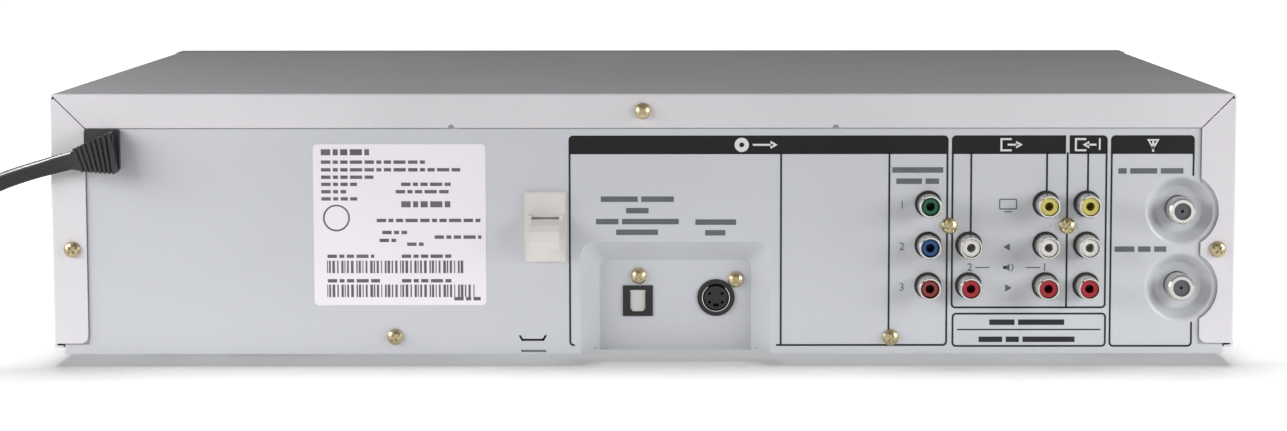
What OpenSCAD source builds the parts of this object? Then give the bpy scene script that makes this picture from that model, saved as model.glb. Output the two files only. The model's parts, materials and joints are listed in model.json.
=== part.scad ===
/* [Cabinet] */
// Width of the cabinet
body_w = 430; // [426:1:434]
// Height from the table to the top of the cover
top_z = 99.5; // [99.5:0.5:103]
// Height of the feet
foot_h = 4.3; // [3.5:0.1:5]
// Rear face of the rear panel, measured back from the middle
rear_y = 132; // [132:1:134]
// Rear end of the front moulding, measured from the middle
bezel_back = -118; // [-118.5:0.5:-117.5]
// Thickness of the cover sheet
sheet = 0.9; // [0.7:0.1:1]
// Outer bend radius of the cover
bend_r = 1.7; // [1.3:0.1:2]
// Bottom edge of the cover's sides
side_bottom = 7.9; // [7:0.1:9]
// Width of the side flanges on the rear
flange_w = 12.6; // [12:0.1:13]
// Bottom edge of the top flange
seam_z = 87.1; // [86.5:0.1:87.5]

/* [Rear sockets] */
// Radius of a phono socket's shell
rca_r = 4.15; // [4:0.05:4.3]
// Radius of the black collar behind a phono socket's shell
collar_r = 4.8; // [4.6:0.05:4.9]
// How far a phono socket stands out of the panel
rca_reach = 10; // [8:0.5:10]
// Heights of the three rows of phono sockets
rca_rows = [59.2, 44.2, 29.3]; // each up to 1 mm higher or lower
// Columns of phono sockets: component, second sound, line out, line in
rca_cols = [-103.4, -118.2, -146.2, -161]; // each up to 0.3 mm to the side
// Radius of an aerial connector, 3/8 inch thread
f_r = 4.76; // [4.7:0.01:4.8]
// Column of the aerial connectors
f_col = -195.2; // [-195.5:0.1:-195]
// Heights of the two aerial connectors
f_rows = [56.8, 28.8]; // each up to 0.5 mm higher or lower
// Outer radius of the dish pressed round an aerial connector
dish_r = 12.7; // [12:0.1:13]
// Depth of that dish
dish_d = 5.5; // [5:0.1:6]
// Depth of the pocket that holds the optical and S-video sockets
pocket_d = 9; // [8:0.5:9]

/* [Front panel] */
// Foremost face of the lower front
bulge_y = -141; // [-141:0.5:-140]
// Face of the upper front
brow_y = -138; // [-138:0.5:-137.5]
// Wall of the front moulding
bezel_wall = 2.5; // [2:0.1:3]
// Cassette mouth: left, bottom, right, top
mouth = [-203, 59.5, -7, 90.5]; // each up to 0.3 mm either way
// Disc tray mouth: left, bottom, right, top
slot = [36, 66, 184, 82.5]; // each up to 0.3 mm either way
// Centres of the keys under the cassette mouth
tape_keys = [-186, -164, -142, -120, -98]; // each up to 1 mm to the side
// Centres of the keys under the disc tray
disc_keys = [98, 122, 146]; // each up to 1 mm to the side
// Height of the rows of keys
key_z = 41; // [40:0.5:43]
// Width and height of a key
key_size = [17, 8]; // each up to 0.5 mm more or less
// Travel of a key
key_travel = 0.8; // [0.5:0.1:1]

/* [Tape deck] */
// Middle of the cassette
cassette_x = -105; // [-105.3:0.1:-104.7]
// Distance between the reel spindles
reel_gap = 92; // [91:0.5:93]
// Radius of the head drum
drum_r = 31; // [30:0.1:31]
// Tilt of the head drum
drum_tilt = 5.9; // [5:0.1:6]
// Height of the deck plate
deck_z = 30; // [29:0.5:31]

/* [Disc loader] */
// Middle of the disc tray
tray_x = 110; // [109.7:0.1:110.3]
// Centre of the disc with the tray shut
disc_y = -58; // [-58.5:0.5:-57.5]
// Width of the tray
tray_w = 137; // [136:0.5:137.5]
// Teeth of the pinion that drives the tray, of module 1
pinion_teeth = 18; // [18:1:18]
// Angle by which the sled hangs down while the tray can move
sled_drop = 5; // [4:0.5:5.5]

/* [Power cord] */
// Width of the flat twin cord
cord_w = 6.4; // [6:0.1:6.8]
// Thickness of the flat twin cord
cord_t = 3.2; // [3:0.1:3.4]
// Centre of the coiled length on the table
coil_at = [306, 96]; // each up to 1 mm either way
// Inner and outer radius of the coil
coil_r = [28.4, 43.6]; // each up to 0.5 mm either way

/* [Hidden] */
$fn = 48;
arc_steps = 5;                      // straight pieces in a small rounded corner
play = 0.3;                         // gap between pieces that move past each other
running = 0.05;                     // radial clearance of a shaft in its bearing
half_w = body_w / 2;
flange_y = rear_y + 1;
panel_t = 1;
inside_y = rear_y - panel_t;
floor_z = foot_h + panel_t;         // upper face of the chassis floor
cover_front = bezel_back + 0.2;
chassis_half = half_w - 4;
dish_lip = 2;
dish_slope = 58;                    // degrees
dish_floor_r = 8.1;
f_relief = 0.5;                     // width of the relief at the foot of a thread
flange_low = side_bottom + 0.4;
hem_z = side_bottom - 1.4;
fold_r = 0.9;
rca_tip = rear_y + rca_reach;
core_r = 3.4;                       // coloured plastic inside a phono socket
core_hole_r = 1.6;
rca_plan = [                        // column, row, colour
    [0, 0, "green"], [0, 1, "royalblue"], [0, 2, "brown"],
    [1, 1, "white"], [1, 2, "brown"],
    [2, 0, "khaki"], [2, 1, "white"], [2, 2, "crimson"],
    [3, 0, "khaki"], [3, 1, "white"], [3, 2, "crimson"]];
front_jacks = [-186, -168, -150];
front_jack_z = 22;
front_jack_colours = ["khaki", "white", "crimson"];
front_jack_tip = bulge_y + 1.5;
// Rear pocket: left, right and top edges at the panel and at its floor
pocket_out = [-46.4, 23, 45.4];
pocket_in = [-39.3, 16.3, 37.6];
pocket_y = rear_y - pocket_d;
optical_at = [2.3, 22.45];
optical_hole = [5.9, 8.4];
s_video_at = [-26.4, 23.6];
s_video_r = 6.7;
bushing_at = [196, 79.1];
bushing_size = [12.8, 15.3];
clamp_at = [35.6, 51];              // centre of the cord clamp's plate
hook_y = rear_y + 9;
screw_r = 2.95;
screw_hole_r = 1.6;
pip_at = [[-106.5, 51.2], [-148.8, 51.2], [-158.4, 51.2]];
flange_screws = [[207.6, 42.9], [-208.6, 42.7], [0.3, 93.2]];
panel_screw_at = [[90.7, 10.6], [-90, 10.3], [-111.1, 51.2], [-153.9, 51.2]];
pocket_screws = [[1.9, 31.7], [-33.7, 30.3]];
foot_at = [[175, 95], [-175, 95], [175, -95], [-175, -95]];
foot_r = 11;
flap_pivot = [-136.6, 88.2];        // y and z of the flap's hinge line
flap_pin_r = 1;
window = [-62, 22.5, 62, 46];         // display window: left, bottom, right, top
power_at = [14.5, 75];
power_r = 8;
board_y = -121;                     // rear face of the front board
board_t = 1.6;
board_z = 12;                       // underside of the main board
drum_at = [cassette_x, 27];
reel_y = -56;
deck_t = 1.5;
deck_top = deck_z + deck_t;
deck_box = [-206, -112, -5, 72];    // deck plate: left, front, right, rear
deck_posts = [[-198, -104], [-16, -104], [-198, 64], [-16, 64]];
capstan_at = [-45, 4];
lever_at = [-26, 14];               // pivot of the pinch roller's lever
roller_at = [-40.8, 16.6];              // pinch roller, swung clear of the capstan
roller_r = 6;
carrier_half = 95.3;                // half of the space between the carrier's sides
carrier_y = [-101, -41];
carrier_z = [60, 87.4];
carrier_in = 32;                    // travel into the deck
carrier_down = 22;                  // travel down to the reels
lifter_half = carrier_half + 1.8;
bracket_half = lifter_half + 1.5;
tray_half = tray_w / 2;
tray_z = [69, 77.5];
tray_y = [-133, 52];
tray_open = 150;
pinion_r = pinion_teeth / 2;
pinion_at = [63.5, -102];
rack_x = pinion_at[0] - pinion_r;   // pitch line of the rack
frame_z = [50, 79.4];
frame_box = [38, -112, 182, 58];
frame_posts = [[46, -104], [174, -104], [46, 50], [174, 50]];
wheel_teeth = 21;                   // large wheel under the tray's pinion
motor_teeth = 8;
motor_at = pinion_at + [(wheel_teeth + motor_teeth) / 2, 0];
boss_x = [-196, -70, 75, 196];      // bosses that hold the front board
boss_z = 50.2;
hook_x = [-180, -62, 62, 180];      // hooks of the front moulding on the chassis
sled_pivot = [42, 61];              // y and z of the sled's hinge line
sled_box = [77, -88, 155, 46];
seat_z = 76.8;                      // disc seat with the sled raised
pickup_y = -34;                     // lens at the start of its travel
rod_x_at = [88, 132];
rod_z_at = 68;
screw_at = [141, 66];
clamp_z = 80;                       // underside of the clamp bridge
// Route of the free cord from the bushing to the coil, and from the coil to the plug
lead_route = [[205.5, 138, 76], [214, 138, 73.8], [223, 138, 71.2], [232, 138, 68], [241, 138, 63.6],
    [249, 138, 58.4], [256, 138, 52.4], [262, 138, 45.8], [267, 138, 38.8], [272, 138, 31],
    [277, 138, 23.2], [282, 138, 16.2], [287, 138, 10.4], [292, 138, 6.6], [298, 138, 4.4]];
tail_route = [[347.9, 92, 9.6], [347.8, 84, 9.4], [347.4, 75, 9], [346.8, 66, 8.4],
    [346.2, 58, 7.6], [346, 50, 7]];
cord_sides = 10;
plug_at = [346, 50, 7];
blade_gap = 12.7;

// Box between two opposite corners
module box(lo, hi) translate(lo) cube(hi - lo);

// Straight rods along each axis
module rod_x(y, z, r, x0, x1) translate([x0, y, z]) rotate([0, 90, 0]) cylinder(h = x1 - x0, r = r);
module rod_y(x, z, r, y0, y1) translate([x, y0, z]) rotate([-90, 0, 0]) cylinder(h = y1 - y0, r = r);
module rod_z(x, y, r, z0, z1) translate([x, y, z0]) cylinder(h = z1 - z0, r = r);

// A drawing in X and Z, made solid from y0 to y1
module along_y(y0, y1) translate([0, y1, 0]) rotate([90, 0, 0]) linear_extrude(y1 - y0) children();

// A drawing in Y and Z, made solid from x0 to x1
module along_x(x0, x1)
    translate([x0, 0, 0]) rotate([90, 0, 90]) linear_extrude(x1 - x0) children();

// A drawing in X and Y, made solid from z0 to z1
module along_z(z0, z1) translate([0, 0, z0]) linear_extrude(z1 - z0) children();

// What a bend of radius r takes off the outer corner at (a, b)
module corner_cut(a, b, r) difference() {
    translate([a - r, b - r]) square(r + 1);
    translate([a - r, b - r]) circle(r);
}

// Points of one quarter turn about c, starting at angle a
function quarter(c, r, a) = [for (i = [0 : arc_steps])
    c + r * [cos(a + 90 * i / arc_steps), sin(a + 90 * i / arc_steps)]];

// Rectangle from lo to hi with rounded corners
module round_rect(lo, hi, r) polygon(concat(
    quarter([hi[0] - r, hi[1] - r], r, 0), quarter([lo[0] + r, hi[1] - r], r, 90),
    quarter([lo[0] + r, lo[1] + r], r, 180), quarter([hi[0] - r, lo[1] + r], r, 270)));

// Ring-shaped post: a tube along Z
module tube_z(x, y, r, hole, z0, z1) difference() {
    rod_z(x, y, r, z0, z1);
    rod_z(x, y, hole, z0 - 1, z1 + 1);
}

// Spur gear drawing of module 1, with a tooth space on the X axis when turn is 0
module gear_2d(teeth, bore, turn = 0) difference() {
    polygon([for (i = [0 : teeth - 1], k = [0 : 3])
        let (step = 360 / teeth, r = (k == 0 || k == 3) ? teeth / 2 - 1.15 : teeth / 2 + 0.85,
            a = turn + step * (i + [0.2, 0.39, 0.61, 0.8][k]))
        r * [cos(a), sin(a)]]);
    circle(bore);
}

// ---- Cabinet ----

// Outline of the cover seen from the rear, less "inset" all round
module cover_outline(inset) difference() {
    round_rect([inset - half_w, -10], [half_w - inset, top_z - inset], bend_r - min(inset, bend_r - 0.5));
    translate([-half_w - 1, -20]) square([body_w + 2, 20 + side_bottom]);
}

module top_cover() color("silver") difference() {
    union() {
        along_y(cover_front, flange_y) difference() {
            cover_outline(0);
            cover_outline(sheet);
            translate([-half_w + sheet, side_bottom - 1]) square([body_w - 2 * sheet, 20]);
        }
        along_y(rear_y + 0.1, flange_y) difference() {
            cover_outline(0);
            translate([-half_w + flange_w, 0]) square([body_w - 2 * flange_w, seam_z]);
            for (side = [-1, 1]) {
                // Mitre between the side and top flanges
                translate([side * (half_w - flange_w), seam_z]) rotate(side * -45)
                    translate([-0.2, -1]) square([0.4, 17]);
                translate([side * (half_w - 0.9), top_z - 1.2]) circle(0.9);
                translate([side * 69.6, seam_z]) circle(1.2);
                // Rounded lower corner of the side flange
                translate([side * (half_w - flange_w), flange_low]) mirror([side < 0 ? 1 : 0, 0])
                    difference() {
                        translate([-1, -1]) square(4);
                        translate([3, 3]) circle(3);
                    }
            }
            for (z = f_rows) translate([f_col, z]) circle(dish_r + 1);
        }
        // Hems along the foot of both sides
        for (side = [-1, 1]) mirror([side < 0 ? 1 : 0, 0, 0]) {
            box([half_w - sheet, cover_front, hem_z], [half_w, rear_y - 0.6, side_bottom + 1]);
            box([half_w - 3.2, cover_front, hem_z], [half_w, rear_y - 0.6, hem_z + sheet]);
        }
    }
    box([-half_w - 1, rear_y - 0.6, 0], [half_w + 1, rear_y + 2, flange_low]);
    // Radius of the bends along the flanges
    along_x(-half_w - 1, half_w + 1) corner_cut(flange_y, top_z, fold_r);
    for (side = [-1, 1]) along_z(0, top_z + 1) mirror([side < 0 ? 1 : 0, 0])
        corner_cut(half_w, flange_y, fold_r);
    for (p = flange_screws) rod_y(p[0], p[1], screw_hole_r, rear_y - 1, rear_y + 2);
    // Rows of slots that let warm air out of both sides
    for (i = [0 : 11], row = [0, 1])
        box([-half_w - 1, 16 + 8 * i, 36 + 22 * row], [half_w + 1, 19 + 8 * i, 52 + 22 * row]);
}

module bottom_chassis() color("lightgray") difference() {
    union() {
        box([-chassis_half, bezel_back + 1, foot_h], [chassis_half, inside_y - 0.3, floor_z]);
        for (side = [-1, 1]) {
            box([side * chassis_half - 0.5, bezel_back + 1, foot_h],
                [side * chassis_half + 0.5, inside_y - 12.5, 34]);
            // Joggled tabs that carry the ends of the rear panel
            box([side * (chassis_half - 7) - 6, inside_y - 1.6, floor_z - 0.2],
                [side * (chassis_half - 7) + 6, inside_y - 0.3, 15.5]);
        }
        box([-chassis_half, bezel_back + 1, foot_h], [chassis_half, bezel_back + 2, 16]);
        // Pressed ribs that stiffen the floor
        for (x = [-150, -60, 30]) box([x - 2, -90, floor_z], [x + 2, 60, floor_z + 1.2]);
    }
    // Bay of the rear pocket and windows for the hooks of the front
    box([pocket_out[0] - 4, pocket_y - 2, 0], [pocket_out[1] + 4, rear_y, 40]);
    for (x = hook_x) box([x - 6.4, bezel_back, floor_z], [x + 6.4, bezel_back + 3, floor_z + 2]);
    // Slots under the boards
    for (i = [0 : 7], row = [0, 1]) box([118 + 5 * i, 66 + 26 * row, 0], [120.4 + 5 * i, 86 + 26 * row, 8]);
    for (i = [0 : 11]) box([40 + 6 * i, -60, 0], [43 + 6 * i, -20, 8]);
    for (p = foot_at) rod_z(p[0], p[1], 2.2, 0, 10);
}

// Hollow of the pocket, grown by "wall" on its closed sides
module pocket_void(wall) hull() {
    along_y(rear_y, rear_y + 0.5)
        round_rect([pocket_out[0] - wall, -12], [pocket_out[1] + wall, pocket_out[2] + wall], 5);
    along_y(pocket_y - wall, pocket_y - wall + 0.5)
        round_rect([pocket_in[0] - wall, -12], [pocket_in[1] + wall, pocket_in[2] + wall], 3);
}

// Round dish pressed into the panel: soft lip, slope and flat floor, grown by "t" on its back
module dish(z, t) translate([f_col, rear_y, z]) rotate([90, 0, 0]) rotate_extrude() polygon(concat(
    [[0, -1], [dish_r + dish_lip / 4, -1]],
    [for (a = [0 : dish_slope / 4 : dish_slope])
        [dish_r + dish_lip / 4 - (dish_lip - t) * sin(a), dish_lip - (dish_lip - t) * cos(a)]],
    [for (a = [dish_slope : -dish_slope / 4 : 0])
        [dish_floor_r + (1 + t) * sin(a), dish_d - 1 + (1 + t) * cos(a)]],
    [[0, dish_d + t]]));

module rear_panel() color("lightgray") difference() {
    union() {
        along_y(inside_y, rear_y) translate([-chassis_half, foot_h])
            square([2 * chassis_half, 98.3 - foot_h]);
        box([-chassis_half + 6, inside_y - 9, 97.2], [chassis_half - 6, inside_y, 98.3]);
        for (side = [-1, 1])
            box([side * (chassis_half - 0.5) - 0.5, inside_y - 12, 30],
                [side * (chassis_half - 0.5) + 0.5, inside_y, 96]);
        intersection() {
            pocket_void(1);
            box([-60, pocket_y - 2, foot_h], [40, rear_y, 60]);
        }
        intersection() {
            union() for (z = f_rows) dish(z, 1);
            box([-chassis_half, 100, 0], [0, rear_y, 90]);
        }
        for (p = pip_at) rod_y(p[0], p[1], 0.8, rear_y - 0.5, rear_y + 0.35);
    }
    // Joggle under the flanges of the cover
    along_y(rear_y - 0.45, rear_y + 1) difference() {
        translate([-half_w, flange_low - 0.4]) square([body_w, top_z]);
        translate([flange_w + 0.4 - half_w, 0]) square([body_w - 2 * flange_w - 0.8, seam_z - 0.4]);
    }
    pocket_void(0);
    for (z = f_rows) {
        dish(z, 0);
        rod_y(f_col, z, f_r + 0.3, rear_y - 10, rear_y);
    }
    for (p = rca_plan) rod_y(rca_cols[p[0]], rca_rows[p[1]], collar_r + 0.1, rear_y - 3, rear_y + 1);
    for (p = concat(flange_screws, panel_screw_at, pocket_screws))
        rod_y(p[0], p[1], screw_hole_r, rear_y - 12, rear_y + 1);
    // Seats of the sockets in the pocket, of the cord bushing and of the cord clamp
    rod_y(s_video_at[0], s_video_at[1], s_video_r + 0.15, rear_y - 12, rear_y);
    along_y(rear_y - 12, rear_y) translate([optical_at[0] - 5.5, optical_at[1] - 5.7]) square([11, 11.4]);
    rod_y(bushing_at[0], bushing_at[1], 5.6, rear_y - 3, rear_y + 1);
    for (z = [-1, 1]) rod_y(clamp_at[0], clamp_at[1] + z * 9, 1.9, rear_y - 3, rear_y + 1);
    // Lanced tab over the chassis edge
    along_y(rear_y - 3, rear_y + 1) {
        translate([35.6, 4.9]) square([9.2, 0.8]);
        polygon([[35.4, 11], [36.1, 11.2], [36.9, 9.8], [44.1, 9.8], [44.9, 11.2], [45.6, 11],
            [44.6, 9], [36.4, 9]]);
    }
    // Reliefs at the foot of the pocket's slanted sides
    for (x = [pocket_out[0] + 0.6, pocket_out[1] - 5.6])
        box([x, pocket_y - 2, foot_h - 1], [x + 5, rear_y + 1, foot_h + 1]);
}

// Section of the front moulding, less "inset" all round
module bezel_section(inset) {
    front = bulge_y + inset;
    brow = brow_y + inset;
    polygon(concat(
        [[bezel_back + 1, 5.4 + inset], [front + 6, 5.4 + inset]],
        [for (a = [10 : 10 : 90]) [front + 6 - 6 * sin(a), 13.4 + inset - 8 * cos(a)]],
        [for (a = [0 : 15 : 75]) [front + 4 - 4 * cos(a), 50 - inset / 2 + 4 * sin(a)]],
        [[brow + 1.6, 54.6 - inset / 2], [brow + 1.6, 56.4 - inset / 2], [brow, 57.6 - inset / 2]],
        [[brow, top_z - 1.4 - inset], [brow + 1.4, top_z - inset]],
        [[bezel_back + 1, top_z - inset]]));
}

module front_bezel() color("gainsboro") difference() {
    union() {
        difference() {
            intersection() {
                along_x(-half_w, half_w) bezel_section(0);
                box([-half_w, bulge_y - 1, 0], [half_w, bezel_back, top_z]);
            }
            along_x(-half_w + bezel_wall, half_w - bezel_wall) bezel_section(bezel_wall);
        }
        // Collar round the cassette mouth, with the bearings of the flap
        difference() {
            box([mouth[0] - 2, brow_y + 1, mouth[1] - 2], [mouth[2] + 2, bezel_back - 4, mouth[3] + 2]);
            box([mouth[0], brow_y - 1, mouth[1]], [mouth[2], bezel_back, mouth[3]]);
        }
        // Rails that guide the tray's front
        for (z = [slot[1] - 1.6, slot[3]])
            box([slot[0] - 3, brow_y + 1, z], [slot[2] + 3, bezel_back - 6, z + 1.6]);
        for (x = boss_x) rod_y(x, boss_z, 3, bulge_y + 1.5, board_y - board_t);
        for (x = hook_x) {
            box([x - 6, bezel_back - 3, floor_z + 0.1], [x + 6, bezel_back + 8, floor_z + 1.6]);
            box([x - 6, bezel_back - 3, 6.6], [x + 6, bezel_back - 1, 8]);
        }
        // Tunnels behind the front sockets
        for (x = front_jacks) rod_y(x, front_jack_z, 7.6, bulge_y + 1, bulge_y + 6);
    }
    box([mouth[0], bulge_y, mouth[1]], [mouth[2], bezel_back - 1, mouth[3]]);
    for (x = [mouth[0] - 1.2, mouth[2] - 0.1])
        rod_x(flap_pivot[0], flap_pivot[1], flap_pin_r + running, x, x + 1.3);
    box([slot[0], bulge_y, slot[1]], [slot[2], bezel_back, slot[3]]);
    along_y(bulge_y - 1, bulge_y + 6) round_rect([window[0], window[1]], [window[2], window[3]], 3);
    for (x = concat(tape_keys, disc_keys)) along_y(bulge_y - 1, bulge_y + 6) round_rect(
        [x - key_size[0] / 2 - play, key_z - key_size[1] / 2 - play],
        [x + key_size[0] / 2 + play, key_z + key_size[1] / 2 + play], 2);
    rod_y(power_at[0], power_at[1], power_r + play, brow_y - 1, brow_y + 6);
    for (x = front_jacks) rod_y(x, front_jack_z, 5.6, bulge_y - 1, bulge_y + 8);
}

module feet() color("dimgray") for (p = foot_at) {
    translate([p[0], p[1], 0]) rotate_extrude() polygon([[0, 0], [foot_r - 2, 0], [foot_r - 0.8, 0.8],
        [foot_r, foot_h], [2, foot_h], [2, floor_z + 1], [0, floor_z + 1]]);
}

// Pan-head screw along Y with a cross recess, its seat at y
module screw_y(x, z, y) difference() {
    union() {
        translate([x, y, z]) rotate([-90, 0, 0]) rotate_extrude()
            polygon([[0, 0], [screw_r, 0], [screw_r, 0.7], [screw_r - 0.6, 1.5], [1.3, 2], [0, 2.1]]);
        rod_y(x, z, screw_hole_r - 0.1, y - 6, y);
    }
    for (turn = [0, 90]) translate([x, y + 1, z]) rotate([0, turn + 45, 0])
        translate([-1.7, 0, -0.35]) cube([3.4, 2, 0.7]);
}

module panel_screws() color("darkgoldenrod") {
    for (p = flange_screws) screw_y(p[0], p[1], flange_y);
    for (p = panel_screw_at) screw_y(p[0], p[1], rear_y);
    for (p = pocket_screws) screw_y(p[0], p[1], pocket_y);
}

// ---- Front panel ----

module display_window() color([0.15, 0.15, 0.18]) difference() {
    union() {
        along_y(bulge_y - 0.4, bulge_y + 2) round_rect([window[0] + 0.2, window[1] + 0.2],
            [window[2] - 0.2, window[3] - 0.2], 2.8);
        along_y(bulge_y + bezel_wall, bulge_y + bezel_wall + 1.5) round_rect([window[0] - 3, window[1] - 2.5],
            [window[2] + 3, window[3] + 2], 3);
        along_y(bulge_y + 1.5, bulge_y + bezel_wall + 0.5) round_rect([window[0] + 0.2, window[1] + 0.2],
            [window[2] - 0.2, window[3] - 0.2], 2.8);
    }
    along_y(bulge_y + 1.6, bulge_y + 5) round_rect([window[0] + 3, window[1] + 3],
        [window[2] - 3, window[3] - 3], 2);
}

// Vacuum display: glass envelope with its evacuation tip and leads
module display_tube() color("darkslategray") {
    box([-50, board_y - board_t - 9, 28], [50, board_y - board_t - 2, 47]);
    rod_x(board_y - board_t - 5.5, 37, 1.6, 50, 53.5);
    for (i = [0 : 17]) rod_y(-42.5 + 5 * i, 30, 0.3, board_y - board_t - 2, board_y - board_t);
}

module front_board() color("darkgreen") {
    along_y(board_y - board_t, board_y) difference() {
        translate([-204, 12]) square([408, 42]);
        for (x = boss_x) translate([x, boss_z]) circle(1.7);
    }
    // Tact switches behind the keys
    for (x = concat(tape_keys, disc_keys))
        box([x - 3, board_y - board_t - 4.2, key_z - 3], [x + 3, board_y - board_t, key_z + 3]);
    box([power_at[0] - 4, board_y - board_t - 4.2, 48], [power_at[0] + 4, board_y - board_t, 54]);
    // Bodies of the front phono sockets
    for (x = front_jacks)
        box([x - 5, bulge_y + 11, front_jack_z - 6], [x + 5, board_y - board_t, front_jack_z + 6]);
}

// Key cap with its skirt and stem
module key(x) color("whitesmoke") {
    along_y(bulge_y - 1, bulge_y + 4) round_rect([x - key_size[0] / 2, key_z - key_size[1] / 2],
        [x + key_size[0] / 2, key_z + key_size[1] / 2], 1.7);
    along_y(bulge_y + 3.5, bulge_y + 5) round_rect([x - key_size[0] / 2 - 1.5, key_z - key_size[1] / 2 - 1.5],
        [x + key_size[0] / 2 + 1.5, key_z + key_size[1] / 2 + 1.5], 1.7);
    rod_y(x, key_z, 1.5, bulge_y + 4.5, board_y - board_t - 4.2 - key_travel - 0.2);
}

module eject_button() key(tape_keys[0]);
module rewind_button() key(tape_keys[1]);
module tape_play_button() key(tape_keys[2]);
module forward_button() key(tape_keys[3]);
module record_button() key(tape_keys[4]);
module open_button() key(disc_keys[0]);
module disc_play_button() key(disc_keys[1]);
module disc_stop_button() key(disc_keys[2]);

module power_button() color("whitesmoke") difference() {
    union() {
        rod_y(power_at[0], power_at[1], power_r, brow_y - 1, brow_y + 4);
        rod_y(power_at[0], power_at[1], power_r + 1.5, brow_y + 3.5, brow_y + 5);
        // Bent stem down to its switch on the front board
        box([power_at[0] - 2, brow_y + 4.5, 49.5], [power_at[0] + 2, brow_y + 6.5, power_at[1]]);
        rod_y(power_at[0], 51, 1.5, brow_y + 6, board_y - board_t - 4.2 - key_travel - 0.2);
    }
    translate([power_at[0], brow_y - 1, power_at[1]]) rotate([90, 0, 0]) rotate_extrude()
        polygon([[power_r - 2, -0.6], [power_r - 1.2, -0.6], [power_r - 1.2, 1], [power_r - 2, 1]]);
}

// Door of the cassette mouth, hinged along its top
module cassette_flap() color("gainsboro") difference() {
    union() {
        box([mouth[0] + 0.6, brow_y, mouth[1] + 0.5], [mouth[2] - 0.6, brow_y + 2, mouth[3] - 0.8]);
        for (x = [mouth[0] + 0.6, mouth[2] - 3.6])
            box([x, brow_y + 0.4, flap_pivot[1] - 1.4], [x + 3, brow_y + 2.8, mouth[3] - 0.9]);
        // Arched rib that lifts the door off a cassette
        for (x = [-165, -125, -85, -45])
            box([x - 0.8, brow_y + 1.5, mouth[1] + 3], [x + 0.8, brow_y + 3, mouth[3] - 4]);
        rod_x(flap_pivot[0], flap_pivot[1], flap_pin_r, mouth[0] - 0.9, mouth[2] + 0.9);
    }
    // Pull line pressed across the door
    box([mouth[0], brow_y - 1, 66.6], [mouth[2], brow_y + 0.5, 67.4]);
}

// ---- Rear sockets ----

module rca_housings() color("black") {
    for (col = [0 : 3]) difference() {
        x = rca_cols[col];
        low = board_z + board_t;
        high = (col == 1 ? rca_rows[1] : rca_rows[0]) + 6.5;
        union() {
            box([x - 6.4, inside_y - 14, low], [x + 6.4, inside_y - 0.1, high]);
            for (p = rca_plan) if (p[0] == col)
                rod_y(x, rca_rows[p[1]], collar_r, inside_y - 1, rear_y + 0.5);
        }
        for (row = [0 : 2]) rod_y(x, rca_rows[row], rca_r + 0.02, inside_y - 6, rear_y + 1);
    }
}

// Nickel shell of a phono socket from y0 to y1, with its open end at y1
module rca_shell(x, z, y0, y1) difference() {
    union() {
        rod_y(x, z, rca_r, y0, y1 - 0.4);
        translate([x, y1 - 0.4, z]) rotate([-90, 0, 0]) cylinder(h = 0.4, r1 = rca_r, r2 = rca_r - 0.3);
    }
    rod_y(x, z, core_r, y0 - 1, y1 + 1);
    // Spring slot in the rim
    translate([x, y1, z]) rotate([0, -48, 0]) box([3, -2.6, -0.35], [5, 1, 0.35]);
}

module rca_shells() color("silver") {
    for (p = rca_plan) rca_shell(rca_cols[p[0]], rca_rows[p[1]], inside_y - 5.9, rca_tip);
    for (x = front_jacks) mirror([0, 1, 0])
        rca_shell(x, front_jack_z, -bulge_y - 11, -bulge_y - 1.5);
}

// Coloured insulator of a phono socket, its face "face_r" wide, open at y1
module rca_core(x, z, y0, y1, face_r) difference() {
    union() {
        rod_y(x, z, core_r - 0.02, y0, y1 - 1);
        translate([x, y1 - 1, z]) rotate([-90, 0, 0])
            cylinder(h = 1, r1 = core_r - 0.02, r2 = face_r);
    }
    rod_y(x, z, core_hole_r, y1 - 8, y1 + 1);
}

module rca_cores() {
    for (p = rca_plan) color(p[2])
        rca_core(rca_cols[p[0]], rca_rows[p[1]], inside_y - 5.9, rca_tip - 0.8, p[0] == 0 ? 2.7 : 3.1);
    for (i = [0 : 2]) color(front_jack_colours[i]) mirror([0, 1, 0])
        rca_core(front_jacks[i], front_jack_z, -bulge_y - 11, -bulge_y - 2.3, 3.1);
}

module s_video_socket() color("black") difference() {
    union() {
        rod_y(s_video_at[0], s_video_at[1], s_video_r, pocket_y - 6, pocket_y + 0.8);
        box([s_video_at[0] - 7, pocket_y - 13, board_z + board_t],
            [s_video_at[0] + 7, pocket_y - 1.2, s_video_at[1] + 7]);
    }
    // Groove for the plug's ring
    translate([s_video_at[0], pocket_y + 0.8, s_video_at[1]]) rotate([90, 0, 0]) rotate_extrude()
        polygon([[4.3, -1], [5.2, -1], [5.2, 4], [4.3, 4]]);
    // Four pins and the key
    for (a = [35, 145, 215, 325])
        rod_y(s_video_at[0] + 2.8 * cos(a), s_video_at[1] + 2.8 * sin(a), 0.55, pocket_y - 4, pocket_y + 2);
    box([s_video_at[0] - 1.1, pocket_y - 3, s_video_at[1] - 3.2],
        [s_video_at[0] + 1.1, pocket_y + 2, s_video_at[1] - 2.1]);
}

module optical_socket() color("black") difference() {
    union() {
        along_y(pocket_y - 12, pocket_y + 0.6) translate([optical_at[0] - 5.4, optical_at[1] - 5.6])
            square([10.8, 11.2]);
        box([optical_at[0] - 4.9, pocket_y - 13, board_z + board_t],
            [optical_at[0] + 4.9, pocket_y - 1.2, optical_at[1]]);
    }
    along_y(pocket_y - 10.5, pocket_y + 2) translate(optical_at) polygon([
        [-optical_hole[0] / 2, 4.3], [-optical_hole[0] / 2, -3], [-optical_hole[0] / 2 + 1, -4.2],
        [optical_hole[0] / 2 - 1, -4.2], [optical_hole[0] / 2, -3], [optical_hole[0] / 2, 4.3]]);
    rod_x(pocket_y - 0.4, optical_at[1] + 3.6, 0.45, optical_at[0] - 4, optical_at[0] + 4);
}

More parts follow.
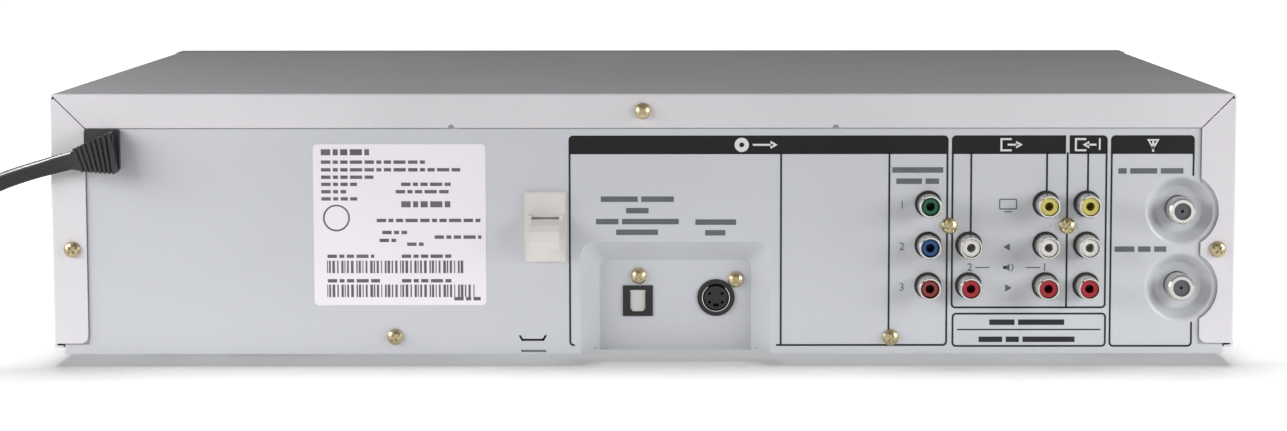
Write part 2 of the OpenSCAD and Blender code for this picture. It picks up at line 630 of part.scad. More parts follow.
// Spring shutter, hinged along its top
module optical_shutter() color("gainsboro") {
    along_y(pocket_y - 0.8, pocket_y) translate(optical_at) polygon([
        [-optical_hole[0] / 2 + 0.2, 4], [-optical_hole[0] / 2 + 0.2, -2.9],
        [-optical_hole[0] / 2 + 1.1, -3.95], [optical_hole[0] / 2 - 1.1, -3.95],
        [optical_hole[0] / 2 - 0.2, -2.9], [optical_hole[0] / 2 - 0.2, 4]]);
    rod_x(pocket_y - 0.4, optical_at[1] + 3.6, 0.4, optical_at[0] - 3.9, optical_at[0] + 3.9);
}

module f_connectors() color("silver") for (z = f_rows) {
    difference() {
        union() {
            rod_y(f_col, z, f_r, inside_y - 14, rear_y + 3.4);
            translate([f_col, rear_y + 3.4, z]) rotate([-90, 0, 0])
                cylinder(h = 0.6, r1 = f_r, r2 = f_r - 0.6);
        }
        rod_y(f_col, z, 3.1, rear_y - 5, rear_y + 5);
        // Relief at the foot of the thread, on the floor of the dish
        difference() {
            rod_y(f_col, z, f_r + 1, rear_y - dish_d, rear_y - dish_d + f_relief);
            rod_y(f_col, z, f_r - 0.3, rear_y - dish_d - 1, rear_y - dish_d + 1);
        }
    }
    // Insulator round the centre contact
    difference() {
        rod_y(f_col, z, 3, rear_y - 5, rear_y + 3.2);
        rod_y(f_col, z, 0.55, rear_y - 3, rear_y + 5);
    }
}

// Screened box of the tuner that carries the aerial connectors
module tuner_module() color("silver") difference() {
    union() {
        box([f_col - 12, inside_y - 58.5, board_z + board_t], [f_col + 15, inside_y - 6.2, 72]);
    }
    for (z = f_rows) rod_y(f_col, z, f_r + 0.02, inside_y - 14.1, inside_y);
    // Windows over the tuning coils
    for (i = [0 : 2])
        box([f_col + 13.5, inside_y - 56 + 17 * i, 24], [f_col + 16, inside_y - 46 + 17 * i, 34]);
    box([f_col - 11, inside_y - 57.5, 71.2], [f_col + 14, inside_y - 20, 73]);
}

// Snap-in clamp whose hook holds a loop of leads
module cord_clamp() color("antiquewhite") {
    difference() {
        for (step = [[0, 0.9], [0.6, 1.4]]) along_y(rear_y, rear_y + step[1])
            round_rect([clamp_at[0] - 7.6 + step[0], clamp_at[1] - 12.9 + step[0]],
                [clamp_at[0] + 7.6 - step[0], clamp_at[1] + 12.9 - step[0]], 0.6);
        box([clamp_at[0] - 5.2, rear_y - 1, 54], [clamp_at[0] + 5.2, rear_y + 2, 54.6]);
    }
    along_x(clamp_at[0] - 5.2, clamp_at[0] + 5.2) polygon([
        [rear_y + 1, 54], [rear_y + 5.6, 54], [rear_y + 8, 52.4], [hook_y, 50], [hook_y, 46.6],
        [rear_y + 7.6, 43.6], [rear_y + 6.4, 43.6], [rear_y + 7.6, 46.8], [rear_y + 7.6, 49.6],
        [rear_y + 6.2, 51.6], [rear_y + 4.6, 52.4], [rear_y + 1, 52.4]]);
    for (side = [-1, 1]) along_y(rear_y + 1.2, rear_y + 3) translate([clamp_at[0], 0])
        polygon([[side * 5, 54.8], [side * 6.2, 55.6], [side * 6.2, 52], [side * 5, 51]]);
    for (z = [-1, 1]) rod_y(clamp_at[0], clamp_at[1] + z * 9, 1.8, rear_y - 5, rear_y + 0.5);
}

// Strain relief: base plate, neck through the panel and ribbed boot towards the side
module cord_bushing() color([0.12, 0.12, 0.12]) difference() {
    union() {
        along_y(rear_y, rear_y + 2.2)
            round_rect(bushing_at - bushing_size / 2, bushing_at + bushing_size / 2, 1.2);
        rod_y(bushing_at[0], bushing_at[1], 5.5, rear_y - 3, rear_y + 1);
        rod_y(bushing_at[0], bushing_at[1], 6.4, rear_y - 9, rear_y - 1.1);
        // Core of the boot
        along_y(rear_y + 2, rear_y + 8.4) polygon([[190.8, 73], [190.8, 85.2], [197, 84.2],
            [203.6, 80.4], [205.5, 79.2], [205.5, 72.8], [199, 71.8]]);
        // Ribs, each a little lower than the one behind it
        for (i = [0 : 7]) along_y(rear_y + 1.8, rear_y + 9.8 - 0.08 * i)
            translate([191.1 + 1.72 * i, 78.7 - 0.36 * i]) rotate(-6 - 2 * i)
            round_rect([-0.5, -7.5 + 0.42 * i], [0.5, 7.5 - 0.42 * i], 0.4);
    }
    rod_y(bushing_at[0], bushing_at[1], 2.4, rear_y - 10, rear_y - 2);
}

// ---- Boards ----

// Board with its lower face at z, with holes
module board(lo, hi, z, holes, hole_r = 1.8) translate([0, 0, z]) linear_extrude(board_t) difference() {
    translate(lo) square(hi - lo);
    for (p = holes) translate(p) circle(hole_r);
}

// Main board: the signal board under the loader and its arm along the rear sockets
module main_board() color("darkgreen") {
    top = board_z + board_t - 0.2;
    translate([0, 0, board_z]) linear_extrude(board_t) difference() {
        union() {
            translate([2, -106]) square([82, 171]);
            translate([2, -106]) square([204, 166]);
            translate([-208, 70]) square([290, 50]);
            translate([2, 50]) square([80, 30]);
        }
        for (p = frame_posts) translate(p) circle(5);
        for (p = [[-203, 75], [-120, 75], [-30, 75]]) translate(p) circle(1.8);
    }
    for (p = [[8, -100], [8, 54], [200, -100], [200, 54], [-170, 76], [-60, 114], [76, 114]])
        rod_z(p[0], p[1], 2, floor_z, board_z + 0.2);
    // Processor, memories and the circuits of the tape and of the sound
    box([70, -40, top], [98, -12, top + 2]);
    for (i = [0 : 2]) box([118 + 16 * i, -36, top], [128 + 16 * i, -16, top + 1.4]);
    box([22, -80, top], [40, -66, top + 2.4]);
    box([-70, 96, top], [-50, 112, top + 2]);
    // Rows of capacitors
    for (i = [0 : 5]) rod_z(14 + 9 * i, 20, 3, top, top + 11);
    for (i = [0 : 4]) rod_z(110 + 12 * i, 44, 4, top, top + 12);
    for (i = [0 : 2]) rod_z(-88 + 9 * i, 88, 3, top, top + 11);
    // Connectors
    for (i = [0 : 2]) box([60 + 34 * i, -100, top], [84 + 34 * i, -94, top + 6]);
    box([96, 28, top], [124, 33, top + 5]);
    box([-104, 74, top], [-76, 80, top + 5]);
}

module power_board() color("peru") {
    board([88, 66], [206, 126], board_z, [[94, 70], [200, 70]]);
    for (p = [[94, 120], [200, 120], [94, 80], [200, 80]]) rod_z(p[0], p[1], 2, floor_z, board_z + 0.2);
}

// Parts of the power supply: transformer, capacitors, heat sink, fuse and choke
module power_parts() color("goldenrod") {
    top = board_z + board_t;
    box([118, 84, top], [150, 112, top + 22]);
    box([112, 90, top + 4], [156, 106, top + 18]);
    rod_z(182, 84, 11, top, top + 36);
    rod_z(100, 84, 6, top, top + 22);
    rod_z(100, 100, 5, top, top + 20);
    // Finned heat sink
    box([160, 104, top], [196, 106, top + 34]);
    for (i = [0 : 6]) box([160 + 5.6 * i, 104, top], [161.6 + 5.6 * i, 114, top + 34]);
    rod_x(118, top + 3, 2.6, 120, 140);
    box([176, 118, top], [192, 124, top + 14]);
}

module dvd_board() color("darkgreen") {
    z = 36;
    board([60, -70], [160, 10], z, [[66, -64], [154, -64], [66, 4], [154, 4]]);
    for (p = [[66, -64], [154, -64], [66, 4], [154, 4]]) rod_z(p[0], p[1], 2.6, board_z + board_t, z + 0.2);
    box([96, -44, z + 1.4], [120, -20, z + 3]);
    for (x = [72, 134]) box([x, -44, z + 1.4], [x + 12, -24, z + 2.8]);
    box([96, 2, z + 1.4], [124, 7, z + 5]);
}

// Flat cable with its ends bent, drawn in Y and Z
module flat_cable(x, w, path) along_x(x, x + w) for (i = [0 : len(path) - 2]) {
    step = path[i + 1] - path[i];
    side = 0.2 * [-step[1], step[0]] / norm(step);
    over = 0.2 * step / norm(step);
    polygon([path[i] - side - over, path[i + 1] - side + over,
             path[i + 1] + side + over, path[i] + side - over]);
}

module flat_cables() color("whitesmoke") {
    flat_cable(98, 24, [[7.2, 40], [14, 42], [22, 45], [31, 43], [35, 36], [34, 25], [30.5, 18.7]]);
    flat_cable(62, 20, [[-97, 19.6], [-97, 24], [-103, 26.5], [-110, 27], [-120.7, 24]]);
    flat_cable(-100, 20, [[77, 18.6], [77, 27], [75.6, 33], [72.6, 35.6], [68, 35], [64.4, 31.8]]);
}

// ---- Tape deck ----

module vcr_deck() color("lightgray") {
    difference() {
        translate([0, 0, deck_z]) linear_extrude(deck_t) difference() {
            translate([deck_box[0], deck_box[1]])
                square([deck_box[2] - deck_box[0], deck_box[3] - deck_box[1]]);
            translate(capstan_at) circle(4);
            // Curved slots along which the threading guides run
            for (side = [-1, 1]) translate(drum_at) for (a = [-30 : 12 : 30])
                rotate(side > 0 ? a : 180 - a) translate([drum_r + 9, -5]) square([3, 10]);
        }
    }
    for (p = deck_posts) rod_z(p[0], p[1], 4, floor_z, deck_z + 0.2);
    // Bearing of the capstan and axles of the reels
    tube_z(capstan_at[0], capstan_at[1], 4.2, 1.5 + running, deck_z - 1, deck_top + 1.8);
    for (side = [-1, 1]) rod_z(cassette_x + side * reel_gap / 2, reel_y, 2, deck_z, deck_top + 14);
    rod_z(lever_at[0], lever_at[1], 1.5, deck_z, deck_top + 12);
    // Side brackets with upright slots for the lifter's pins
    for (side = [-1, 1]) difference() {
        box([cassette_x + side * bracket_half - 0.5, -103, deck_z],
            [cassette_x + side * bracket_half + 0.5, -4, 93]);
        for (y = [-88, -20]) box([cassette_x + side * bracket_half - 1, y - 1.3, 44],
            [cassette_x + side * bracket_half + 1, y + 1.3, 83]);
        for (y = [-76, -50]) box([cassette_x + side * bracket_half - 1, y, 46],
            [cassette_x + side * bracket_half + 1, y + 20, 78]);
    }
    // Bridge that ties the brackets over the cassette
    box([cassette_x - bracket_half, -30, 92], [cassette_x + bracket_half, -6, 93]);
}

// Places children in the drum's own frame: its axis along Z, its foot on the deck
module at_drum() translate([drum_at[0], drum_at[1], deck_top + 2]) rotate([-drum_tilt, 0, 0]) children();

module drum_base() color("silver") {
    difference() {
        at_drum() difference() {
            union() {
                cylinder(h = 15, r = drum_r);
                translate([0, 0, 15]) cylinder(h = 2, r = 12);
            }
            translate([0, 0, -1]) cylinder(h = 30, r = 3);
            // Step that guides the lower edge of the tape
            translate([0, 0, 12]) difference() {
                cylinder(h = 4, r = drum_r + 1);
                translate([0, 0, -1]) cylinder(h = 6, r = drum_r - 0.4);
            }
        }
        box([drum_at[0] - 40, drum_at[1] - 40, deck_z - 9], [drum_at[0] + 40, drum_at[1] + 40, deck_top]);
    }
    // Cast bracket under the drum
    box([drum_at[0] - 36, drum_at[1] + 8, deck_top], [drum_at[0] + 36, drum_at[1] + 34, deck_top + 5]);
    box([drum_at[0] - 20, drum_at[1] - 26, deck_top], [drum_at[0] + 20, drum_at[1] + 10, deck_top + 3.4]);
}

module head_drum() color("gainsboro") at_drum() {
    difference() {
        translate([0, 0, 17.3]) union() {
            cylinder(h = 16, r = drum_r);
            translate([0, 0, 16]) cylinder(h = 3, r = 14);
        }
        // Head windows in the lower edge
        for (a = [0 : 90 : 270]) rotate(a) translate([drum_r - 2, -2.5, 17]) cube([3, 5, 1.6]);
        for (a = [45 : 90 : 315]) rotate(a) translate([20, 0, 30]) cylinder(h = 5, r = 3);
    }
    translate([0, 0, 2]) cylinder(h = 20, r = 3 - running);
}

// Fixed parts along the tape: heads, rollers and posts
module tape_path() color("gray") {
    for (side = [-1, 1]) {
        // Threading guide with its roller and slanted post
        x = cassette_x + side * 42;
        box([x - 6, -6, deck_top], [x + 6, 6, deck_top + 3]);
        rod_z(x - side * 2.4, 0, 2.6, deck_top + 3, deck_top + 22);
        translate([x + side * 3.4, 0, deck_top + 2]) rotate([0, side * 8, 0]) cylinder(h = 17, r = 1.1);
    }
    // Full erase head on the supply side
    box([-178, 8, deck_top], [-164, 18, deck_top + 20]);
    rod_z(-184, 4, 2.6, deck_top, deck_top + 22);
    // Sound and control head on the take-up side
    box([-60, 14, deck_top], [-50, 24, deck_top + 22]);
    rod_z(-66, 20, 2, deck_top, deck_top + 24);
}

// Small DC motor standing on z, its shaft standing out by "shaft"
module dc_motor(x, y, z, shaft) {
    intersection() {
        rod_z(x, y, 12, z, z + 20);
        box([x - 13, y - 10, z], [x + 13, y + 10, z + 20]);
    }
    rod_z(x, y, 4, z + 19, z + 21.5);
    rod_z(x, y, 1, z + 20, z + 20 + max(shaft, 1));
}

// Threading motor on the deck, and tray motor hung under the loader's floor
module drive_motors() color("silver") {
    dc_motor(-184, 50, deck_top, 0);
    dc_motor(motor_at[0], motor_at[1], frame_z[0] - 20, 14);
}

module capstan() color("silver") {
    rod_z(capstan_at[0], capstan_at[1], 1.5, 12, 60);
    difference() {
        rod_z(capstan_at[0], capstan_at[1], 27, 17, 26);
        translate([capstan_at[0], capstan_at[1], 0]) for (a = [0 : 60 : 300]) rotate(a)
            translate([16, 0, 16]) cylinder(h = 12, r = 4);
    }
    rod_z(capstan_at[0], capstan_at[1], 5, 12, 17.5);
}

module pinch_lever() color("gray") difference() {
    union() {
        translate([0, 0, deck_top + 2]) linear_extrude(2) {
            translate(lever_at) circle(5);
            translate(roller_at) circle(4);
            translate([roller_at[0], roller_at[1] - 3.5]) square([lever_at[0] - roller_at[0], 7]);
        }
        rod_z(lever_at[0], lever_at[1], 3.5, deck_top + 0.3, deck_top + 10);
        rod_z(roller_at[0], roller_at[1], 1.5, deck_top + 3, deck_top + 24);
    }
    rod_z(lever_at[0], lever_at[1], 1.5 + running, deck_top - 1, deck_top + 12);
}

module pinch_roller() color("black") difference() {
    rod_z(roller_at[0], roller_at[1], roller_r, deck_top + 5, deck_top + 21);
    rod_z(roller_at[0], roller_at[1], 1.5 + running, deck_top + 4, deck_top + 22);
}

// Reel table: geared disc, felt ring and three-winged spindle
module reel_table(x) color("dimgray") difference() {
    union() {
        translate([x, reel_y, deck_top + 1]) linear_extrude(4) gear_2d(36, 2.5);
        rod_z(x, reel_y, 12, deck_top + 0.3, deck_top + 6.5);
        rod_z(x, reel_y, 4.6, deck_top + 6, deck_top + 20);
        translate([x, reel_y, deck_top + 6]) for (a = [0 : 120 : 240]) rotate(a)
            translate([0, -0.8, 0]) cube([7, 1.6, 11]);
    }
    rod_z(x, reel_y, 2 + running, deck_top - 1, deck_top + 15);
}

module supply_reel() reel_table(cassette_x - reel_gap / 2);
module take_up_reel() reel_table(cassette_x + reel_gap / 2);

// Pair of side plates that go down with the cassette
module carrier_lifter() color("silver") for (side = [-1, 1]) {
    x = cassette_x + side * lifter_half;
    difference() {
        box([x - 0.5, -101, 62], [x + 0.5, -6, 91]);
        for (z = [66, 82]) box([x - 1, -96, z - 1.3], [x + 1, -10, z + 1.3]);
    }
    for (y = [-88, -20]) rod_x(y, 74, 1.2, min(x, x + side * 2.2), max(x, x + side * 2.2));
    if (side > 0) box([cassette_x - lifter_half, -9.5, 90], [cassette_x + lifter_half, -6, 91]);
}

// Basket that holds the cassette
module cassette_carrier() color("lightsteelblue") {
    for (side = [-1, 1]) {
        x = cassette_x + side * (carrier_half + 0.4);
        box([x - 0.4, carrier_y[0], carrier_z[0]], [x + 0.4, carrier_y[1], carrier_z[1]]);
        inner = cassette_x + side * (carrier_half - 12);
        box([min(x, inner), carrier_y[0], carrier_z[0]], [max(x, inner), carrier_y[1], carrier_z[0] + 0.8]);
        for (y = [-92, -50], z = [66, 82])
            rod_x(y, z, 1.2, min(x, x + side * 1.6), max(x, x + side * 1.6));
    }
    difference() {
        box([cassette_x - carrier_half, carrier_y[0], carrier_z[1] - 0.8],
            [cassette_x + carrier_half, carrier_y[1], carrier_z[1]]);
        for (x = [-175, -125, -75]) box([x, -92, 80], [x + 38, -56, 90]);
    }
    // Stops at the inner end
    for (side = [-1, 1]) box([cassette_x + side * 80 - 4, carrier_y[1] - 0.8, 78],
        [cassette_x + side * 80 + 4, carrier_y[1], carrier_z[1]]);
}

// ---- Disc loader ----

module loader_frame() color("dimgray") {
    difference() {
        union() {
            box([frame_box[0], frame_box[1], frame_z[0]], [frame_box[2], frame_box[3], frame_z[0] + 2]);
            for (x = [frame_box[0], frame_box[2] - 3])
                box([x, frame_box[1], frame_z[0]], [x + 3, frame_box[3], frame_z[1]]);
            // Rails over and under the edges of the tray
            for (side = [-1, 1], z = [[66.9, 68.7], [77.9, frame_z[1]]]) {
                a = tray_x + side * 72;
                b = tray_x + side * (tray_half - 3);
                box([min(a, b), frame_box[1] + 2, z[0]], [max(a, b), frame_box[3] - 6, z[1]]);
            }
            box([frame_box[0], frame_box[3] - 3, frame_z[0]], [frame_box[2], frame_box[3], 66]);
            // Ears that hold the sled's pins
            for (x = [sled_box[0] - 5, sled_box[2] + 2]) box([x, 38, frame_z[0]], [x + 3, 46, 65]);
        }
        box([sled_box[0] - 2, -92, 0], [sled_box[2] + 2, 44, 56]);
        rod_z(motor_at[0], motor_at[1], 4.2, 40, 60);
        rod_x(sled_pivot[0], sled_pivot[1], 1.5 + running, sled_box[0] - 6, sled_box[2] + 6);
        for (x = [60, 98, 136]) box([x, frame_box[3] - 4, 54], [x + 24, frame_box[3] + 1, 62]);
    }
    for (p = frame_posts) rod_z(p[0], p[1], 4, floor_z, frame_z[0] + 0.2);
    rod_z(pinion_at[0], pinion_at[1], 2, frame_z[0], 71.5);
}

module clamp_bridge() color("silver") difference() {
    union() {
        box([frame_box[0] + 0.4, disc_y - 22, clamp_z], [frame_box[2] - 0.4, disc_y + 22, clamp_z + 1]);
        for (x = [frame_box[0] + 0.4, frame_box[2] - 3.4])
            box([x, disc_y - 22, frame_z[1]], [x + 3, disc_y + 22, clamp_z + 1]);
    }
    rod_z(tray_x, disc_y, 13.5, clamp_z - 1, clamp_z + 2);
    for (side = [-1, 1]) box([tray_x + side * 42 - 14, disc_y - 12, clamp_z - 1],
        [tray_x + side * 42 + 14, disc_y + 12, clamp_z + 2]);
}

module disc_clamp() color("white") translate([tray_x, disc_y, 0]) rotate_extrude() polygon([
    [0, 80.6], [8.4, 80.6], [8.4, 78.2], [12, 78.2], [12.9, 79], [12.9, clamp_z + 1.1], [16.5, clamp_z + 1.1],
    [16.5, clamp_z + 2.4], [9, clamp_z + 3.6], [2, clamp_z + 3.6], [1.4, clamp_z + 4.4], [0, clamp_z + 4.4]]);

module disc_tray() color("dimgray") difference() {
    union() {
        difference() {
            box([tray_x - tray_half, tray_y[0], tray_z[0]], [tray_x + tray_half, tray_y[1], tray_z[1]]);
            // Hollow underside
            box([tray_x - tray_half + 3, tray_y[0] + 3, tray_z[0] - 1],
                [tray_x + tray_half - 3, tray_y[1] + 1, 72.6]);
        }
        // Rack that the pinion drives
        difference() {
            box([rack_x - 4, -110, tray_z[0]], [rack_x + 0.9, tray_y[1], 73]);
            for (i = [-3 : 48]) translate([rack_x, pinion_at[1] + (i + 0.5) * PI, tray_z[0] - 1])
                linear_extrude(3.6) polygon([[-1.3, -0.55], [-1.3, 0.55], [1.4, 1.17], [1.4, -1.17]]);
        }
    }
    // Wells for 12 cm and 8 cm discs
    rod_z(tray_x, disc_y, 60.6, 75.3, 80);
    rod_z(tray_x, disc_y, 40.6, 74.3, 80);
    rod_z(tray_x, disc_y, 19, 60, 80);
    box([tray_x - 18, disc_y, 60], [tray_x + 18, disc_y + 64, 80]);
    // Finger notches beside the disc
    for (side = [-1, 1]) rod_z(tray_x + side * 60, disc_y - 36, 9, 74.3, 80);
}

module tray_fascia() color("gainsboro") difference() {
    union() {
        box([slot[0] + 0.5, brow_y, slot[1] + 0.5], [slot[2] - 0.5, brow_y + 2.4, slot[3] - 0.5]);
        box([tray_x - 50, brow_y + 2, 69.5], [tray_x + 50, tray_y[0], 76]);
    }
    box([slot[0], brow_y - 1, 69.4], [slot[2], brow_y + 0.5, 70]);
    box([tray_x - 40, brow_y + 3, 68], [tray_x + 40, tray_y[0] - 0.6, 77]);
}

// Stepped wheel: pinion in the rack, larger wheel below it
module tray_gear() color("ivory") translate([pinion_at[0], pinion_at[1], 0]) {
    translate([0, 0, 69.2]) linear_extrude(2.2) gear_2d(pinion_teeth, 2 + running);
    translate([0, 0, 60]) linear_extrude(3) gear_2d(wheel_teeth, 2 + running);
    tube_z(0, 0, 5, 2 + running, frame_z[0] + 2 + play, 69.3);
}

// Small gear on the shaft of the tray motor
module motor_pinion() color("ivory") translate([motor_at[0], motor_at[1], 59.5])
    linear_extrude(4) gear_2d(motor_teeth, 1 + running, 180 / motor_teeth);

// Turns children from the raised sled to the lowered one
module lowered() translate([0, sled_pivot[0], sled_pivot[1]]) rotate([sled_drop, 0, 0])
    translate([0, -sled_pivot[0], -sled_pivot[1]]) children();

module sled_base() color("gray") lowered() {
    difference() {
        box([sled_box[0], sled_box[1], 60], [sled_box[2], sled_box[3] - 1, 62]);
        box([tray_x - 20, disc_y + 16, 59], [tray_x + 20, 30, 63]);
        rod_z(tray_x, disc_y, 3, 59, 63);
    }
    rod_x(sled_pivot[0], sled_pivot[1], 1.5, sled_box[0] - 4.6, sled_box[2] + 4.6);
    // Rods of the pickup and their end posts
    for (x = rod_x_at) {
        rod_y(x, rod_z_at, 1.5, -50, 26);
        for (y = [-52, 24]) box([x - 3, y, 61.8], [x + 3, y + 4, rod_z_at + 2.6]);
    }
    // Supports of the lead screw
    for (y = [-52, 22]) difference() {
        box([screw_at[0] - 3, y, 61.8], [screw_at[0] + 3, y + 4, screw_at[1] + 3]);
        rod_y(screw_at[0], screw_at[1], 1 + running, y - 1, y + 5);
    }
    rod_y(screw_at[0], screw_at[1], 6, -72, -54);
    box([screw_at[0] - 5, -72, 61.8], [screw_at[0] + 5, -54, 66]);
    // Stator of the disc motor
    difference() {
        rod_z(tray_x, disc_y, 14.4, 62, 66);
        rod_z(tray_x, disc_y, 3, 60, 68);
    }
}

module disc_turntable() color("silver") lowered() translate([tray_x, disc_y, 0]) rotate_extrude()
    polygon([[0, 58.5], [1.8, 58.5], [1.8, 66.4], [14, 66.4], [14, 73], [13, 73.6], [13, seat_z], [9, seat_z],
        [8.6, seat_z - 0.6], [7.4, seat_z - 0.6], [7.4, seat_z + 0.9], [5.4, seat_z + 2], [0, seat_z + 2]]);

module pickup() color("dimgray") lowered() difference() {
    union() {
        box([tray_x - 17, pickup_y - 8, 63.4], [tray_x + 17, pickup_y + 12, 71.6]);
        // Two bushes on the round rod, fork on the other
        for (y = [pickup_y - 7, pickup_y + 4]) rod_y(rod_x_at[0], rod_z_at, 3.6, y, y + 6);
        box([rod_x_at[0], pickup_y - 8, rod_z_at - 2], [tray_x - 16, pickup_y + 10, rod_z_at + 2]);
        box([tray_x + 16, pickup_y - 4, rod_z_at - 3.4], [rod_x_at[1] + 3, pickup_y + 4, rod_z_at + 3.4]);
        // Arm to the lead screw
        box([rod_x_at[1] + 2, pickup_y - 2, 63.2], [screw_at[0] + 3.5, pickup_y + 6, screw_at[1] + 3]);
        // Lens and its ring
        rod_z(tray_x, pickup_y, 5, 71, 73.4);
        rod_z(tray_x, pickup_y, 2, 73, 74.4);
    }
    rod_y(rod_x_at[0], rod_z_at, 1.5 + running, pickup_y - 12, pickup_y + 14);
    rod_y(screw_at[0], screw_at[1], 1.5 + running, pickup_y - 6, pickup_y + 10);
    rod_y(rod_x_at[1], rod_z_at, 1.5 + running, pickup_y - 6, pickup_y + 6);
}

module lead_screw() color("silver") lowered() {
    rod_y(screw_at[0], screw_at[1], 1.5, -47.7, 21.7);
    rod_y(screw_at[0], screw_at[1], 1, -53.7, 27);
}

// ---- Power cord ----

function unit(v) = v / norm(v);
function route_way(p, i) = unit(p[min(i + 1, len(p) - 1)] - p[max(i - 1, 0)]);

// Ring of points round c; the cord's width runs along w
function cord_ring(c, w, n) = [for (k = [0 : cord_sides - 1]) let (a = 360 * k / cord_sides)
    c + w * (cord_w / 2 * cos(a)) + n * (cord_t / 2 * sin(a))];

// Flat cord along a route, its width upright and rolled by up to "roll" at its far end
module cord_tube(route, roll) {
    last = len(route) - 1;
    points = [for (i = [0 : last]) let (t = route_way(route, i), up = unit([0, 0, 1] - t * t[2]),
        n = cross(t, up), a = roll * i / last)
        each cord_ring(route[i], up * cos(a) + n * sin(a), n * cos(a) - up * sin(a))];
    walls = [for (i = [0 : last - 1], k = [0 : cord_sides - 1]) let (m = (k + 1) % cord_sides)
        each [[i * cord_sides + k, i * cord_sides + m, (i + 1) * cord_sides + m],
            [i * cord_sides + k, (i + 1) * cord_sides + m, (i + 1) * cord_sides + k]]];
    polyhedron(points, concat([[for (k = [0 : cord_sides - 1]) cord_sides - 1 - k]], walls,
        [[for (k = [0 : cord_sides - 1]) last * cord_sides + k]]));
}

module cord_runs() color([0.12, 0.12, 0.12]) {
    cord_tube(lead_route, 0);
    cord_tube(tail_route, 90);
}

// Outer shape of the coiled length
module cord_coil() color([0.12, 0.12, 0.12]) translate([coil_at[0], coil_at[1], 0.1]) rotate_extrude()
    polygon([[coil_r[0], 0], [coil_r[1], 0], [coil_r[1], 2 * cord_w + 0.3], [coil_r[0], 2 * cord_w + 0.3]]);

// Two-pin plug with its tapered neck
module power_plug() {
    color([0.12, 0.12, 0.12]) {
        along_x(plug_at[0] - 4.6, plug_at[0] + 4.6) polygon([[50, 3.6], [50, 10.4], [36, 12.2], [36, 1.8]]);
        translate([plug_at[0], 36.5, plug_at[2]]) rotate([90, 0, 0]) linear_extrude(22)
            round_rect([-11.5, -6.6], [11.5, 6.6], 3);
    }
    color("gold") for (side = [-1, 1])
        box([plug_at[0] + side * blade_gap / 2 - 0.75, -2, plug_at[2] - 3.15],
            [plug_at[0] + side * blade_gap / 2 + 0.75, 15, plug_at[2] + 3.15]);
}

top_cover();
bottom_chassis();
rear_panel();
front_bezel();
feet();
panel_screws();
display_window();
display_tube();
front_board();
power_button();
eject_button();
rewind_button();
tape_play_button();
forward_button();
record_button();
open_button();
disc_play_button();
disc_stop_button();
cassette_flap();
rca_housings();
rca_shells();
rca_cores();
s_video_socket();
optical_socket();
optical_shutter();
f_connectors();
tuner_module();
cord_clamp();
cord_bushing();
main_board();
power_board();
power_parts();
dvd_board();
flat_cables();
vcr_deck();
drum_base();
head_drum();
tape_path();
drive_motors();
capstan();
pinch_lever();
pinch_roller();
supply_reel();
take_up_reel();
carrier_lifter();
cassette_carrier();
loader_frame();
clamp_bridge();
disc_clamp();
disc_tray();
tray_fascia();
tray_gear();
motor_pinion();
sled_base();
disc_turntable();
pickup();
lead_screw();
cord_runs();
cord_coil();
power_plug();
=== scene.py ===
import json
import math
import bpy
from mathutils import Matrix, Vector

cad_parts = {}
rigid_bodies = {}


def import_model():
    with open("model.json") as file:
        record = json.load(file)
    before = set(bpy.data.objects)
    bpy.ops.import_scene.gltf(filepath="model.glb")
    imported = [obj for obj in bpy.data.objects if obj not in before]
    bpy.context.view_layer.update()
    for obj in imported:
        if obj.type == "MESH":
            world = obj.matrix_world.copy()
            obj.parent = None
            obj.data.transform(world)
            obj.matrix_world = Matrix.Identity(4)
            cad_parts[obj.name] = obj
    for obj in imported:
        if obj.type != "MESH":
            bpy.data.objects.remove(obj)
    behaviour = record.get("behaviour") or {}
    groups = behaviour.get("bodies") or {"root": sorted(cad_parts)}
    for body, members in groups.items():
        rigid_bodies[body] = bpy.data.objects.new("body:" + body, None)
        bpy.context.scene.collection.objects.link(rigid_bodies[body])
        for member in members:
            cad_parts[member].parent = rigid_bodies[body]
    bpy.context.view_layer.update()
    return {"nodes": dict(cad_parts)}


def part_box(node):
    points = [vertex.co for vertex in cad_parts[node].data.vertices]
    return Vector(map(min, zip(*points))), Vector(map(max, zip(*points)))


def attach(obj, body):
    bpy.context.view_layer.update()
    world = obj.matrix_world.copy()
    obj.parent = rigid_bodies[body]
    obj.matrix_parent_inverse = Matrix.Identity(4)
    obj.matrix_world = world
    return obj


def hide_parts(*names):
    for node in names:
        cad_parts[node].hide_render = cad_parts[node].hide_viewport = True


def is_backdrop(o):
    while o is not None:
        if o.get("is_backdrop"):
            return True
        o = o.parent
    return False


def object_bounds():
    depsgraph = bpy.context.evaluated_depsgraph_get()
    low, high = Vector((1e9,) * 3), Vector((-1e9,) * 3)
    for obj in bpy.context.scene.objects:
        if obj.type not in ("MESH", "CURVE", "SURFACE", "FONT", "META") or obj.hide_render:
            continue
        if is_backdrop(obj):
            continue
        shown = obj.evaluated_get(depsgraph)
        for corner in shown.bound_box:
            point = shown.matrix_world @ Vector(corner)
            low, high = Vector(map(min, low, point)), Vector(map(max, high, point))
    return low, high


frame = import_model()
nodes = frame["nodes"]
mm = 0.001


def dropSelection():
    if bpy.context.object and bpy.context.object.mode != "OBJECT":
        bpy.ops.object.mode_set(mode="OBJECT")
    bpy.ops.object.select_all(action="DESELECT")


def takeUp(piece):
    dropSelection()
    piece.select_set(True)
    bpy.context.view_layer.objects.active = piece


# Place, turn and size go into the mesh
def settle(piece, name):
    takeUp(piece)
    bpy.ops.object.transform_apply(location=True, rotation=True, scale=True)
    piece.name = name
    return piece


# Edit mode with all of the piece selected, and out of it again
def openMesh(piece):
    takeUp(piece)
    bpy.ops.object.mode_set(mode="EDIT")
    bpy.ops.mesh.select_all(action="SELECT")


def closeMesh():
    bpy.ops.object.mode_set(mode="OBJECT")


